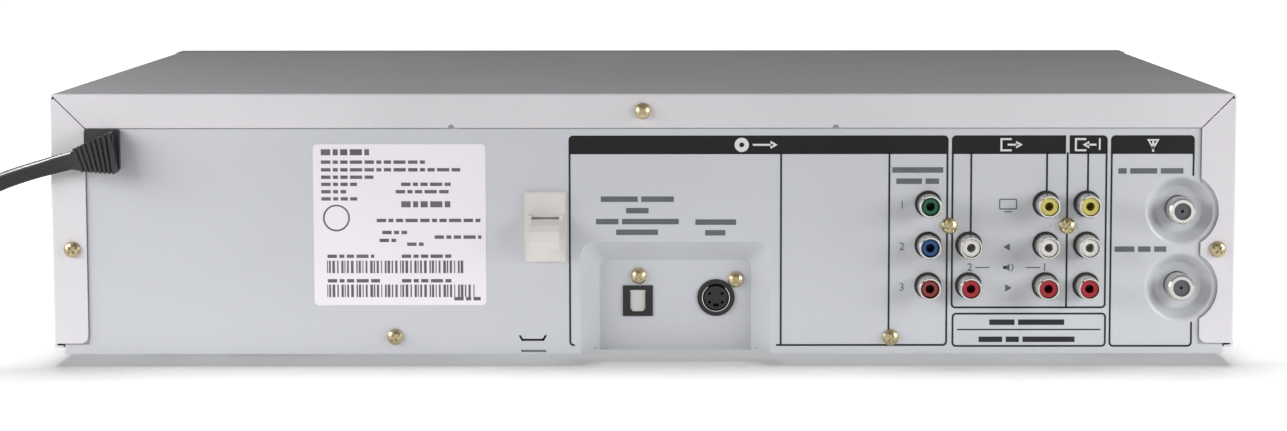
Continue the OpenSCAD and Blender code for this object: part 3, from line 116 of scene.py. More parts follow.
def faceOutwards():
    bpy.ops.mesh.select_all(action="SELECT")
    bpy.ops.mesh.normals_make_consistent(inside=False)


# A wall inwards from the surface
def giveWall(piece, thick):
    wall = piece.modifiers.new("wall", "SOLIDIFY")
    wall.thickness = thick * mm
    wall.offset = -1
    bpy.ops.object.modifier_apply(modifier="wall")


# 0 below low, 1 above high and smooth between them
def easeTo(value, low, high):
    part = min(1, max(0, (value - low) / (high - low)))
    return part * part * (3 - 2 * part)


cameraPlan = {
    "place": (-12.5, 1120.8, 172.8),  # mm
    "tilt": 4.9086,  # degrees, as turn and roll
    "turn": -0.0593,
    "roll": 0.0313,
    "lens": 76.622,
    "shift": (-0.0289, -0.07),
}


def makeCamera(plan):
    eye = bpy.data.cameras.new("camera")
    eye.lens = plan["lens"]
    eye.sensor_width = 36
    eye.clip_end = 50
    eye.shift_x, eye.shift_y = plan["shift"]
    holder = bpy.data.objects.new("camera", eye)
    bpy.context.scene.collection.objects.link(holder)
    holder.location = [v * mm for v in plan["place"]]
    holder.rotation_euler = (
        math.radians(90 - plan["tilt"]),
        math.radians(plan["roll"]),
        math.radians(180 + plan["turn"]),
    )
    bpy.context.scene.camera = holder


makeCamera(cameraPlan)
print("camera placed")

cordPlan = {
    "width": 6.4,
    "thick": 3.2,
    "start": [(205.5, 138, 76), (214, 138, 73.8), (223, 138, 71.2), (232, 138, 68), (241, 138, 63.6),
              (249, 138, 58.4), (256, 138, 52.4), (262, 138, 45.8), (267, 138, 38.8), (272, 138, 31),
              (277, 138, 23.2), (282, 138, 16.2), (287, 138, 10.4), (292, 138, 6.6), (298, 138, 4.4)],
    "end": [(347.9, 92, 9.6), (347.8, 84, 9.4), (347.4, 75, 9), (346.8, 66, 8.4),
            (346.2, 58, 7.6), (346, 50, 7)],
    "coilAt": (306, 96),
    "coilOut": 42,
    "coilIn": 30,
    "layers": (3.4, 9.8),
    "climb": (0.47, 0.53),  # part of the coil in which it goes to the upper layer
    "turns": 7.25,
    "length": 1.8,
    "lean": 30,  # degrees that the flat lead leans back where it hangs
    "leanTo": (14, 95, 150),  # mm from the exit: full lean, end of it, none
    "tail": 46,  # mm over which it turns for the plug
    # band: size along the cord, half its height, its wall, room inside, degrees round the coil
    "tie": {"wide": 7, "half": 7.4, "wall": 0.8, "room": 0.9, "turn": -140},
}


# Inwards along the lower layer, then outwards along the upper one
def coilPoints(plan, perTurn=28):
    points = []
    steps = int(plan["turns"] * perTurn)
    low, high = plan["layers"]
    for i in range(1, steps):
        part = i / steps
        angle = math.pi / 2 - part * plan["turns"] * 2 * math.pi
        radius = plan["coilIn"] + (plan["coilOut"] - plan["coilIn"]) * abs(1 - 2 * part)
        points.append((plan["coilAt"][0] + radius * math.cos(angle),
                       plan["coilAt"][1] + radius * math.sin(angle),
                       low + (high - low) * easeTo(part, *plan["climb"])))
    return points


# Catmull-Rom curve through the points, cut into even steps
def smoothPath(points, step=2.4):
    knots = [Vector(p) for p in points]
    knots = [knots[0] * 2 - knots[1]] + knots + [knots[-1] * 2 - knots[-2]]
    fine = []
    for i in range(1, len(knots) - 2):
        a, b, c, d = knots[i - 1:i + 3]
        for k in range(8):
            t = k / 8
            fine.append(0.5 * (2 * b + (c - a) * t + (2 * a - 5 * b + 4 * c - d) * t ** 2
                               + (3 * b - a - 3 * c + d) * t ** 3))
    fine.append(knots[-2])
    even, carried = [fine[0]], 0.0
    for a, b in zip(fine, fine[1:]):
        reach = (b - a).length
        while carried + reach >= step:
            a = a.lerp(b, (step - carried) / reach)
            reach = (b - a).length
            carried = 0.0
            even.append(a)
        carried += reach
    if (fine[-1] - even[-1]).length > step / 3:
        even.append(fine[-1])
    return even


# Two touching round wires in one sheath: a flat eight
def twinSection(width, thick, sides=28):
    edge = []
    half = width / 2
    for i in range(sides):
        a = 2 * math.pi * i / sides
        across = half * math.copysign(abs(math.cos(a)) ** 0.55, math.cos(a))
        waist = 1 - 0.16 * math.exp(-(across / (0.16 * half + 0.25)) ** 2)
        rise = thick / 2 * math.copysign(abs(math.sin(a)) ** 0.6, math.sin(a)) * waist
        edge.append((across, rise))
    return edge

def makeCord(plan):
    path = smoothPath(plan["start"] + coilPoints(plan) + plan["end"])
    edge = twinSection(plan["width"], plan["thick"])
    total = sum((b - a).length for a, b in zip(path, path[1:]))
    full, drop, flat = plan["leanTo"]
    verts, faces, gone = [], [], 0.0
    for i, spot in enumerate(path):
        ahead = path[min(i + 1, len(path) - 1)] - path[max(i - 1, 0)]
        ahead.normalize()
        if i:
            gone += (spot - path[i - 1]).length
        side = Vector((0, 0, 1)).cross(ahead).normalized()
        up = ahead.cross(side)
        roll = min(1, max(0, 1 - (total - gone) / plan["tail"])) * math.pi / 2
        roll += math.radians(plan["lean"]) * easeTo(gone, 0, full) * (1 - easeTo(gone, drop, flat))
        wide = up * math.cos(roll) + side * math.sin(roll)
        deep = side * math.cos(roll) - up * math.sin(roll)
        for across, rise in edge:
            verts.append((spot + wide * across + deep * rise) * mm)
    n = len(edge)
    for i in range(len(path) - 1):
        for k in range(n):
            faces.append((i * n + k, i * n + (k + 1) % n, (i + 1) * n + (k + 1) % n, (i + 1) * n + k))
    faces.append(tuple(range(n))[::-1])
    faces.append(tuple((len(path) - 1) * n + k for k in range(n)))
    mesh = bpy.data.meshes.new("power_cord")
    mesh.from_pydata(verts, [], faces)
    mesh.update()
    cord = bpy.data.objects.new("power_cord", mesh)
    bpy.context.scene.collection.objects.link(cord)
    openMesh(cord)
    faceOutwards()
    closeMesh()
    bpy.ops.object.shade_smooth_by_angle(angle=math.radians(50))
    print("cord length", round(total, 1), "mm")
    return cord, [p * mm for p in path]


powerCord, cordPath = makeCord(cordPlan)


# Band round the coil, at the side that faces the plug
def makeTie(plan):
    tie = plan["tie"]
    half = (plan["coilOut"] - plan["coilIn"]) / 2 + plan["thick"] / 2 + tie["room"]
    middle = (plan["coilOut"] + plan["coilIn"]) / 2
    turn = math.radians(tie["turn"])
    dropSelection()
    bpy.ops.mesh.primitive_cylinder_add(vertices=40, radius=1, depth=tie["wide"] * mm,
                                        end_fill_type="NOTHING")
    band = bpy.context.object
    band.scale = (half * mm, tie["half"] * mm, 1)
    band.rotation_euler = (math.radians(90), 0, turn)
    band.location = ((plan["coilAt"][0] + middle * math.cos(turn)) * mm,
                     (plan["coilAt"][1] + middle * math.sin(turn)) * mm, tie["half"] * mm)
    settle(band, "cord_tie")
    giveWall(band, tie["wall"])
    bpy.ops.object.shade_smooth_by_angle(angle=math.radians(40))
    return band


cordTie = makeTie(cordPlan)
for piece in (powerCord, cordTie):
    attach(piece, "cabinet")
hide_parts("cord_runs", "cord_coil")
print("cord laid")

studioPlan = {
    "floorSize": 24,  # metres, as the places and sizes of the lamps
    "floorTone": 0.9,
    "floorGain": 1.1,  # of the lit floor, where it is looked at
    "floorGlow": (0.29, 1.0),  # near the object and far from it
    "glowReach": (0.42, 1.1),
    "skyTone": 0.062,
    "mirrorTone": 0.26,
    # place, aimed at, width, height, watts, shows in gloss, what it lights
    "lamps": {
        "key_left": ((0.57, 0.41, 0.24), (0.12, 0.13, 0.05), 0.45, 0.28, 2.8, True, "object"),
        "key_right": ((-0.58, 0.42, 0.19), (-0.12, 0.13, 0.05), 0.45, 0.28, 2.3, True, "object"),
        "front_fill": ((0.6, -2.2, 0.42), (0, -0.1, 0.05), 1.6, 0.7, 10, False, "object"),
        "side_left": ((2.3, -0.1, 0.5), (0.2, 0, 0.05), 1.2, 0.7, 9, False, "object"),
        "side_right": ((-2.3, -0.1, 0.5), (-0.2, 0, 0.05), 1.2, 0.7, 8, False, "object"),
        "floor_light": ((0, -0.24, 1.6), (0, -0.14, 0), 1.2, 0.8, 21.5, False, "floor"),
        "floor_bounce": ((0, 0.16, 0.001), (0, 0.16, 1), 0.5, 0.05, 0.05, False, "object"),
        "cord_light": ((0.46, 0.26, 0.75), (0.22, 0.138, 0.07), 0.5, 0.4, 26, True, "cord"),
    },
    "alone": {  # what some lamps light, and nothing else
        "floor": ["studio_floor"],
        "cord": ["power_cord", "cord_tie", "cord_bushing", "power_plug"],
    },
}


def addNode(tree, kind, **settings):
    node = tree.nodes.new("ShaderNode" + kind)
    for name, value in settings.items():
        setattr(node, name, value)
    return node


# A socket takes a link from another socket, a number, a vector or a colour of three values
def plug(tree, socket, value):
    if isinstance(value, bpy.types.NodeSocket):
        tree.links.new(value, socket)
    else:
        socket.default_value = value + (1,) if socket.type == "RGBA" else value


# The labels are those of the sockets, with _ for a space
def plugAll(tree, node, **values):
    for label, value in values.items():
        plug(tree, node.inputs[label.replace("_", " ")], value)
    return node.outputs


def mathNode(tree, job, a, b=0.0):
    node = addNode(tree, "Math", operation=job)
    plug(tree, node.inputs[0], a)
    plug(tree, node.inputs[1], b)
    return node.outputs[0]


def times(tree, a, b):
    return mathNode(tree, "MULTIPLY", a, b)


def plus(tree, a, b):
    return mathNode(tree, "ADD", a, b)


def vectorNode(tree, job, a, b=None):
    node = addNode(tree, "VectorMath", operation=job)
    plug(tree, node.inputs[0], a)
    if b is not None:
        plug(tree, node.inputs[1], b)
    return node.outputs["Value" if job == "LENGTH" else "Vector"]


def rangeNode(tree, value, fromLow, fromHigh, low=0.0, high=1.0, way="LINEAR"):
    node = addNode(tree, "MapRange", interpolation_type=way)
    plugAll(tree, node, Value=value, From_Min=fromLow, From_Max=fromHigh, To_Min=low, To_Max=high)
    return node.outputs["Result"]


def noiseNode(tree, place, scale, detail=3.0, rough=0.55):
    node = addNode(tree, "TexNoise")
    return plugAll(tree, node, Vector=place, Scale=scale, Detail=detail, Roughness=rough)["Fac"]


def mixColour(tree, amount, low, high):
    node = addNode(tree, "Mix", data_type="RGBA")
    for slot, value in ((0, amount), (6, low), (7, high)):
        plug(tree, node.inputs[slot], value)
    return node.outputs[2]


def mixValue(tree, amount, low, high):
    node = addNode(tree, "Mix")
    for slot, value in ((0, amount), (2, low), (3, high)):
        plug(tree, node.inputs[slot], value)
    return node.outputs[0]


def objectPlace(tree):
    return addNode(tree, "TexCoord").outputs["Object"]


def split(tree, vector):
    node = addNode(tree, "SeparateXYZ")
    plug(tree, node.inputs[0], vector)
    return [node.outputs[axis] for axis in "XYZ"]


# Two masks: the camera's own rays, and those by which it sees the surface in any way
def cameraLikeRay(tree):
    rays = addNode(tree, "LightPath").outputs
    seen = mathNode(tree, "MAXIMUM", rays["Is Camera Ray"], rays["Is Glossy Ray"])
    return rays["Is Camera Ray"], mathNode(tree, "MAXIMUM", seen, rays["Is Transmission Ray"])


def makeFloor(plan):
    dropSelection()
    bpy.ops.mesh.primitive_plane_add(size=plan["floorSize"], location=(0, 0, 0))
    floor = settle(bpy.context.object, "studio_floor")
    paint = bpy.data.materials.new("studio_floor")
    paint.use_nodes = True
    tree = paint.node_tree
    tree.nodes.clear()
    cameraRay, seen = cameraLikeRay(tree)
    tone = mixColour(tree, cameraRay, (plan["floorTone"],) * 3, (plan["floorGain"],) * 3)
    # The glow grows away from the object, so that the shadow stays and the rest is white
    far = vectorNode(tree, "LENGTH", objectPlace(tree))
    spread = rangeNode(tree, far, *plan["glowReach"], *plan["floorGlow"], "SMOOTHSTEP")
    matt = plugAll(tree, addNode(tree, "BsdfDiffuse"), Color=tone)
    glow = plugAll(tree, addNode(tree, "Emission"), Color=(1, 1, 1), Strength=times(tree, seen, spread))
    both = addNode(tree, "AddShader")
    plug(tree, both.inputs[0], matt[0])
    plug(tree, both.inputs[1], glow[0])
    plugAll(tree, addNode(tree, "OutputMaterial"), Surface=both.outputs[0])
    floor.data.materials.append(paint)
    floor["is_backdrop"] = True
    return floor


def makeSky(plan):
    world = bpy.data.worlds.new("studio")
    bpy.context.scene.world = world
    world.use_nodes = True
    tree = world.node_tree
    tree.nodes.clear()
    cameraRay, seen = cameraLikeRay(tree)
    lookOrMirror = mixValue(tree, cameraRay, plan["mirrorTone"], 1.0)
    sky = plugAll(tree, addNode(tree, "Background"),
                  Strength=mixValue(tree, seen, plan["skyTone"], lookOrMirror))
    plugAll(tree, addNode(tree, "OutputWorld"), Surface=sky[0])


# The lamps light the object and not the floor, apart from those with a list of their own
def makeLamps(plan, floor):
    lit = {"object": bpy.data.collections.new("lit_object")}
    lit["object"].objects.link(floor)
    lit["object"].collection_objects[0].light_linking.link_state = "EXCLUDE"
    for name, pieces in plan["alone"].items():
        lit[name] = bpy.data.collections.new("lit_" + name)
        for slot, piece in enumerate(pieces):
            lit[name].objects.link(nodes[piece] if piece in nodes else bpy.data.objects[piece])
            lit[name].collection_objects[slot].light_linking.link_state = "INCLUDE"
    for name, (place, aim, width, height, watts, gloss, what) in plan["lamps"].items():
        light = bpy.data.lights.new(name, "AREA")
        light.shape = "RECTANGLE"
        light.size, light.size_y = width, height
        light.energy = watts
        holder = bpy.data.objects.new(name, light)
        bpy.context.scene.collection.objects.link(holder)
        holder.location = place
        away = Vector(place) - Vector(aim)
        holder.rotation_euler = away.to_track_quat("Z", "Y").to_euler()
        holder.visible_camera = False
        holder.visible_glossy = gloss
        holder.light_linking.receiver_collection = lit[what]


bpy.context.scene.view_settings.view_transform = "Standard"
studioFloor = makeFloor(studioPlan)
makeSky(studioPlan)
makeLamps(studioPlan, studioFloor)
print("studio lit")

patternPlan = {
    "finer": 60.0,  # specks are so many times finer than the slow change
    "lines": 900.0,  # per metre, of brushing and of scratches
    "dustPatches": 14.0,
    "dustSpecks": 620.0,
    "dustOnWalls": 0.12,
    "edgeWearAndHighlightPatches": 260.0,
    "scratches": (0.66, 0.72),  # where in the noise they begin and are full
    "scratchPatches": 17.0,
    "scratched": (0.52, 0.68),
    "trackBands": 3.0,
    "trackEdge": (0.24, 0.27),
    "span": (0.3, 0.7),  # most of what a noise gives
    "dustTone": (0.62, 0.60, 0.56),
    "brushedTone": 0.7,
    "underLines": 0.3,  # part of the grain that brushing leaves
    "scratchRough": 0.3,
    "dustRough": 0.5,
    "coatRough": 0.12,
}


# Inputs are numbers or vectors, as their first values are, and outputs are numbers
def newGroup(name, inputs, *outputs):
    group = bpy.data.node_groups.new(name, "ShaderNodeTree")
    for label, value in inputs.items():
        kind = "NodeSocketVector" if isinstance(value, tuple) else "NodeSocketFloat"
        socket = group.interface.new_socket(name=label, in_out="INPUT", socket_type=kind)
        socket.default_value = value
    for label in outputs:
        group.interface.new_socket(name=label, in_out="OUTPUT", socket_type="NodeSocketFloat")
    return group, group.nodes.new("NodeGroupInput").outputs, group.nodes.new("NodeGroupOutput").inputs


# Slow change of tone and finer specks, both about 0.5
def makeMottleGroup(plan):
    group, given, result = newGroup("mottle", {"Scale": 20.0, "Specks": 0.4}, "Tone", "Height")
    place = objectPlace(group)
    slow = noiseNode(group, place, given["Scale"], 2.0)
    fine = noiseNode(group, place, times(group, given["Scale"], plan["finer"]), 4.0, 0.6)
    part = times(group, mathNode(group, "SUBTRACT", fine, 0.5), given["Specks"])
    plug(group, result["Tone"], plus(group, slow, part))
    plug(group, result["Height"], fine)
    return group


# Fine lines along one direction, as a rolled or brushed sheet has
def makeBrushGroup(plan):
    group, given, result = newGroup("brushed", {"Stretch": (1.0, 1.0, 1.0)}, "Lines")
    drawn = vectorNode(group, "MULTIPLY", objectPlace(group), given["Stretch"])
    plug(group, result["Lines"], noiseNode(group, drawn, plan["lines"], 3.0, 0.65))
    return group


# A thin, uneven film of dust on faces that look up
def makeDustGroup(plan):
    group, given, result = newGroup("dust", {"Amount": 0.1}, "Film")
    normal = split(group, addNode(group, "NewGeometry").outputs["Normal"])
    up = mathNode(group, "MAXIMUM", normal[2], plan["dustOnWalls"])
    place = objectPlace(group)
    patches = noiseNode(group, place, plan["dustPatches"], 5.0, 0.62)
    specks = noiseNode(group, place, plan["dustSpecks"], 2.0, 0.5)
    film = times(group, up, times(group, patches, specks))
    plug(group, result["Film"], times(group, film, given["Amount"]))
    return group


# Middle one of the distances to the three pairs of faces of a box: small along its edges. The mask marks
# edge wear, and on the top cover also a painted highlight along its bends
def makeEdgeWearAndHighlightGroup(plan):
    group, given, result = newGroup("edge_wear_and_highlight", {
        "Low": (0.0, 0.0, 0.0), "High": (1.0, 1.0, 1.0), "Reach": 0.001, "Amount": 0.5}, "WearAndHighlight")
    place = objectPlace(group)
    toLow, toHigh = (vectorNode(group, "ABSOLUTE", vectorNode(group, "SUBTRACT", place, given[corner]))
                     for corner in ("Low", "High"))
    x, y, z = split(group, vectorNode(group, "MINIMUM", toLow, toHigh))
    lesser = mathNode(group, "MINIMUM", x, y)
    greater = mathNode(group, "MAXIMUM", x, y)
    middle = mathNode(group, "MAXIMUM", lesser, mathNode(group, "MINIMUM", greater, z))
    nearEdge = rangeNode(group, middle, 0.0, given["Reach"], 1.0, 0.0, "SMOOTHSTEP")
    wearAndHighlightMask = times(group, nearEdge, noiseNode(group, place, plan["edgeWearAndHighlightPatches"], 3.0))
    plug(group, result["WearAndHighlight"], times(group, wearAndHighlightMask, given["Amount"]))
    return group


# Thin scratches along one direction, in patches
def makeScuffGroup(plan):
    group, given, result = newGroup("scuffs", {"Stretch": (1.0, 1.0, 1.0), "Amount": 0.2}, "Mask")
    place = objectPlace(group)
    drawn = vectorNode(group, "MULTIPLY", place, given["Stretch"])
    lines = rangeNode(group, noiseNode(group, drawn, plan["lines"], 1.0, 0.4), *plan["scratches"])
    patches = noiseNode(group, place, plan["scratchPatches"], 3.0, 0.6)
    mask = times(group, lines, rangeNode(group, patches, *plan["scratched"]))
    plug(group, result["Mask"], times(group, mask, given["Amount"]))
    return group


# Copper tracks under the varnish of a circuit board
def makeTrackGroup(plan):
    group, given, result = newGroup("tracks", {"Scale": 180.0}, "Tracks")
    cells = plugAll(group, addNode(group, "TexVoronoi", distance="CHEBYCHEV"), Vector=objectPlace(group),
                    Scale=given["Scale"], Randomness=0.8)
    bands = times(group, cells["Distance"], plan["trackBands"])
    bands = mathNode(group, "PINGPONG", bands, 0.5)
    plug(group, result["Tracks"], rangeNode(group, bands, *plan["trackEdge"]))
    return group


mottleGroup = makeMottleGroup(patternPlan)
brushGroup = makeBrushGroup(patternPlan)
dustGroup = makeDustGroup(patternPlan)
edgeWearAndHighlightGroup = makeEdgeWearAndHighlightGroup(patternPlan)
scuffGroup = makeScuffGroup(patternPlan)
trackGroup = makeTrackGroup(patternPlan)


def useGroup(tree, group, **values):
    return plugAll(tree, addNode(tree, "Group", node_tree=group), **values)


def shade(colour, by):
    return tuple(min(1.0, c * by) for c in colour)


# Linear colour of a colour that is written 0 to 255
def srgb(r, g, b):
    return tuple(c / 12.92 if c <= 0.04045 else ((c + 0.055) / 1.055) ** 2.4
                 for c in (r / 255, g / 255, b / 255))


# One finish: base tone with slow change and specks, grain or brushing, lighter edges (wear, and on the
# top cover also a painted highlight), scratches and dust
def makeFinish(name, colour, rough, on=(), metal=0.0, mottle=90, specks=0.8, change=0.12, bump=0.01,
               dust=0.12, coat=0.0, gloss=0.5, roughChange=0.06, brush=None, brushDepth=0.0, edgeWearAndHighlight=None,
               scuffs=None, tracks=None):
    paint = bpy.data.materials.new(name)
    paint.use_nodes = True
    tree = paint.node_tree
    span = patternPlan["span"]
    marks = useGroup(tree, mottleGroup, Scale=mottle, Specks=specks)
    height = marks["Height"]
    base = mixColour(tree, rangeNode(tree, marks["Tone"], *span), shade(colour, 1 - change),
                     shade(colour, 1 + change))
    roughness = rangeNode(tree, marks["Tone"], *span, rough - roughChange, rough + roughChange)
    if brush:
        lines = useGroup(tree, brushGroup, Stretch=brush)["Lines"]
        depth = times(tree, rangeNode(tree, lines, *span), brushDepth)
        base = mixColour(tree, depth, base, shade(colour, patternPlan["brushedTone"]))
        height = plus(tree, times(tree, height, patternPlan["underLines"]), lines)
    if tracks:
        copper = useGroup(tree, trackGroup, Scale=tracks["scale"])["Tracks"]
        base = mixColour(tree, copper, base, tracks["tone"])
        height = plus(tree, height, copper)
    if scuffs:
        marked = useGroup(tree, scuffGroup, Stretch=scuffs["stretch"], Amount=scuffs["amount"])["Mask"]
        base = mixColour(tree, marked, base, scuffs["tone"])
        roughness = plus(tree, roughness, times(tree, marked, patternPlan["scratchRough"]))
    # Lighter tone along the edges: wear, and on the top cover also a painted highlight along the bend
    if edgeWearAndHighlight:
        low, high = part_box(edgeWearAndHighlight["node"])
        wearAndHighlightMask = useGroup(tree, edgeWearAndHighlightGroup, Low=tuple(low), High=tuple(high), Reach=edgeWearAndHighlight["reach"] * mm,
                          Amount=edgeWearAndHighlight["amount"])["WearAndHighlight"]
        base = mixColour(tree, wearAndHighlightMask, base, edgeWearAndHighlight["tone"])
    if dust:
        film = useGroup(tree, dustGroup, Amount=dust)["Film"]
        base = mixColour(tree, film, base, patternPlan["dustTone"])
        roughness = plus(tree, roughness, times(tree, film, patternPlan["dustRough"]))
    lift = plugAll(tree, addNode(tree, "Bump"), Strength=1.0, Distance=bump * mm, Height=height)
    plugAll(tree, tree.nodes["Principled BSDF"], Base_Color=base, Roughness=roughness, Metallic=metal,
            Specular_IOR_Level=gloss, Coat_Weight=coat, Coat_Roughness=patternPlan["coatRough"],
            Normal=lift["Normal"])
    for node in on:
        dress(nodes[node], paint)
    return paint


# The piece takes this finish and no other
def dress(piece, paint):
    piece.data.materials.clear()
    piece.data.materials.append(paint)


silverPaint = srgb(222, 219, 223)
# Lighter edge tone: wear on the mouldings, and on the top cover also a painted highlight along the bend
wearAndHighlightTone = srgb(238, 236, 240)


def wearAndHighlightEdges(node, reach, amount=0.9):
    return dict(node=node, reach=reach, amount=amount, tone=wearAndHighlightTone)


moulding = dict(colour=srgb(203, 206, 211), rough=0.31, metal=0.25, mottle=14, specks=0.35, change=0.012,
                bump=0.006, dust=0.05, coat=0.2, roughChange=0.02)
# on: the nodes that wear the finish
finishPlan = {
    # The cover's lighter edges, stronger than on the mouldings, are partly a painted highlight along the
    # top bend
    "cover_paint": dict(
        on=["top_cover"], colour=silverPaint, rough=0.46, mottle=16, specks=0.5, change=0.03,
        bump=0.012, dust=0.06, gloss=0.2, edgeWearAndHighlight=wearAndHighlightEdges("top_cover", 0.8, 1.2),
        scuffs=dict(stretch=(1, 0.02, 1), amount=0.16, tone=srgb(160, 160, 163))),
    "panel_paint": dict(
        on=["rear_panel"], colour=srgb(205, 207, 212), rough=0.38, metal=0.1, mottle=14, specks=0.4,
        change=0.02, dust=0.05,
        scuffs=dict(stretch=(0.03, 1, 1), amount=0.1, tone=srgb(226, 227, 230))),
    "zinc_sheet": dict(
        on=["bottom_chassis", "vcr_deck", "carrier_lifter", "cassette_carrier", "clamp_bridge",
            "pinch_lever"],
        colour=srgb(196, 199, 202), rough=0.36, metal=0.9, mottle=30, change=0.10, bump=0.006,
        brush=(1, 0.06, 1), brushDepth=0.3,
        scuffs=dict(stretch=(0.05, 1, 1), amount=0.3, tone=srgb(120, 122, 126))),
    "bezel_moulding": dict(moulding, on=["front_bezel"], edgeWearAndHighlight=wearAndHighlightEdges("front_bezel", 0.7)),
    "flap_moulding": dict(moulding, on=["cassette_flap"], edgeWearAndHighlight=wearAndHighlightEdges("cassette_flap", 0.6)),
    "fascia_moulding": dict(moulding, on=["tray_fascia"], edgeWearAndHighlight=wearAndHighlightEdges("tray_fascia", 0.6)),
    "key_moulding": dict(
        on=[n for n in nodes if n.endswith("_button")], colour=srgb(206, 208, 212), rough=0.26,
        metal=0.35, mottle=40, specks=0.4, change=0.03, bump=0.004, dust=0.04, coat=0.3),
    "black_plastic": dict(
        on=["s_video_socket", "optical_socket", "rca_housings", "sled_base", "disc_turntable",
            "supply_reel", "take_up_reel"],
        colour=(0.012, 0.012, 0.013), rough=0.42, mottle=60, change=0.25, bump=0.02, dust=0.10),
    "grey_plastic": dict(
        on=["disc_tray", "loader_frame", "tape_path"], colour=(0.06, 0.06, 0.065), rough=0.5, mottle=40,
        change=0.15, bump=0.03),
    "ivory_acetal": dict(
        on=["tray_gear", "motor_pinion", "disc_clamp"], colour=srgb(226, 221, 205), rough=0.38,
        mottle=60, specks=0.5, change=0.04),
    "shutter_plastic": dict(
        on=["optical_shutter"], colour=srgb(206, 207, 203), rough=0.4, specks=0.5, change=0.04,
        bump=0.006, dust=0.04),
    "nylon": dict(
        on=["cord_clamp"], colour=srgb(222, 218, 214), rough=0.42, mottle=50, specks=0.5, change=0.03,
        bump=0.008, dust=0.05),
    "rubber_feet": dict(
        on=["feet"], colour=(0.022, 0.022, 0.023), rough=0.75, mottle=70, specks=0.9, change=0.2,
        bump=0.04, dust=0.3),
    "yellow_zinc": dict(
        on=["panel_screws"], colour=srgb(202, 186, 148), rough=0.26, metal=0.9, mottle=240, specks=0.9,
        bump=0.003, dust=0.04, roughChange=0.08),
    "nickel": dict(
        on=["rca_shells", "f_connectors"], colour=srgb(222, 221, 216), rough=0.2, metal=0.85,
        mottle=120, specks=0.4, change=0.04, bump=0.0006, dust=0.03),
    "tinplate": dict(
        on=["tuner_module", "drive_motors"], colour=srgb(190, 193, 196), rough=0.32, metal=0.95,
        mottle=40, specks=1.0, brush=(0.08, 1, 1), brushDepth=0.25),
    "turned_aluminium": dict(
        on=["drum_base", "head_drum"], colour=srgb(200, 202, 206), rough=0.2, metal=1.0, mottle=60,
        specks=0.6, change=0.05, bump=0.004, brush=(1, 1, 14), brushDepth=0.35),
    "cast_metal": dict(
        on=["pickup"], colour=srgb(120, 122, 126), rough=0.5, metal=0.9, specks=1.0, bump=0.04),
    "steel": dict(
        on=["capstan", "lead_screw"], colour=srgb(176, 178, 182), rough=0.24, metal=1.0, mottle=80,
        specks=0.6, change=0.08, bump=0.005, brush=(1, 12, 1), brushDepth=0.2),
    "brown_board": dict(
        on=["front_board", "main_board", "power_board"], colour=srgb(150, 108, 62), rough=0.5,
        mottle=40, specks=0.9, bump=0.02, dust=0.25, tracks=dict(scale=150, tone=srgb(122, 84, 46))),
    "green_board": dict(
        on=["dvd_board"], colour=srgb(30, 92, 52), rough=0.34, mottle=60, specks=0.9, change=0.15,
        bump=0.02, dust=0.2, tracks=dict(scale=300, tone=srgb(44, 116, 66))),
    "taped_parts": dict(
        on=["power_parts"], colour=srgb(196, 158, 62), rough=0.45, mottle=80, change=0.18, bump=0.03,
        dust=0.25),
    "ribbon": dict(
        on=["flat_cables"], colour=srgb(226, 228, 232), rough=0.35, mottle=60, specks=0.5, change=0.05,
        brush=(26, 1, 1), brushDepth=0.5),
    "smoked_window": dict(
        on=["display_window"], colour=(0.010, 0.011, 0.014), rough=0.09, mottle=30, specks=0.2,
        change=0.1, bump=0.0008, dust=0.03, coat=0.4, roughChange=0.02),
    "tube_glass": dict(
        on=["display_tube"], colour=(0.05, 0.09, 0.10), rough=0.06, mottle=30, specks=0.3, change=0.1,
        bump=0.002, dust=0.02, roughChange=0.02),
    "cord_vinyl": dict(
        on=["cord_bushing", "power_plug", "cord_runs", "cord_coil"], colour=(0.012, 0.012, 0.013),
        rough=0.33, change=0.2, dust=0.06),
    "sleeve_vinyl": dict(
        colour=srgb(38, 42, 66), rough=0.3, specks=0.6, change=0.1, bump=0.004, dust=0.1),
    "roller_rubber": dict(
        on=["pinch_roller"], colour=(0.02, 0.02, 0.021), rough=0.62, change=0.2, bump=0.02),
    "aerial_core": dict(
        colour=srgb(88, 90, 94), rough=0.4, mottle=150, specks=0.6, change=0.08, bump=0.004, dust=0.03),
    "black_ink": dict(colour=srgb(30, 30, 31), rough=0.5, mottle=50, dust=0.05, gloss=0.2),
    "white_ink": dict(
        colour=srgb(224, 224, 226), rough=0.45, mottle=50, specks=0.6, change=0.05, dust=0.04),
    "line_ink": dict(
        colour=srgb(44, 46, 50), rough=0.5, specks=1.0, change=0.2, bump=0.008, dust=0.05, gloss=0.2),
    "grey_ink": dict(
        colour=srgb(104, 107, 112), rough=0.5, specks=1.0, bump=0.008, dust=0.05, gloss=0.2),
    "red_ink": dict(colour=srgb(170, 40, 40), rough=0.45, change=0.1, bump=0.006, dust=0.03, gloss=0.3),
    "label_ink": dict(
        colour=srgb(98, 95, 102), rough=0.5, specks=1.0, change=0.2, bump=0.005, dust=0.0),
    "label_film": dict(
        colour=srgb(243, 238, 245), rough=0.32, mottle=22, specks=0.3, change=0.015, bump=0.006,
        dust=0.03),
}
finishes = {name: makeFinish(name, **plan) for name, plan in finishPlan.items()}
for piece in (powerCord, cordTie):
    dress(piece, finishes["cord_vinyl"])


# Faces whose middle passes the test take a second finish
def dressPart(node, paint, test):
    mesh = nodes[node].data
    mesh.materials.append(paint)
    slot = len(mesh.materials) - 1
    for face in mesh.polygons:
        if test(face.center / mm):
            face.material_index = slot


aerialPlan = {"across": -195.2, "rows": (56.8, 28.8), "core": 3.03, "coreFrom": 127.3}
plugPlan = {"bladesTo": 14.4}


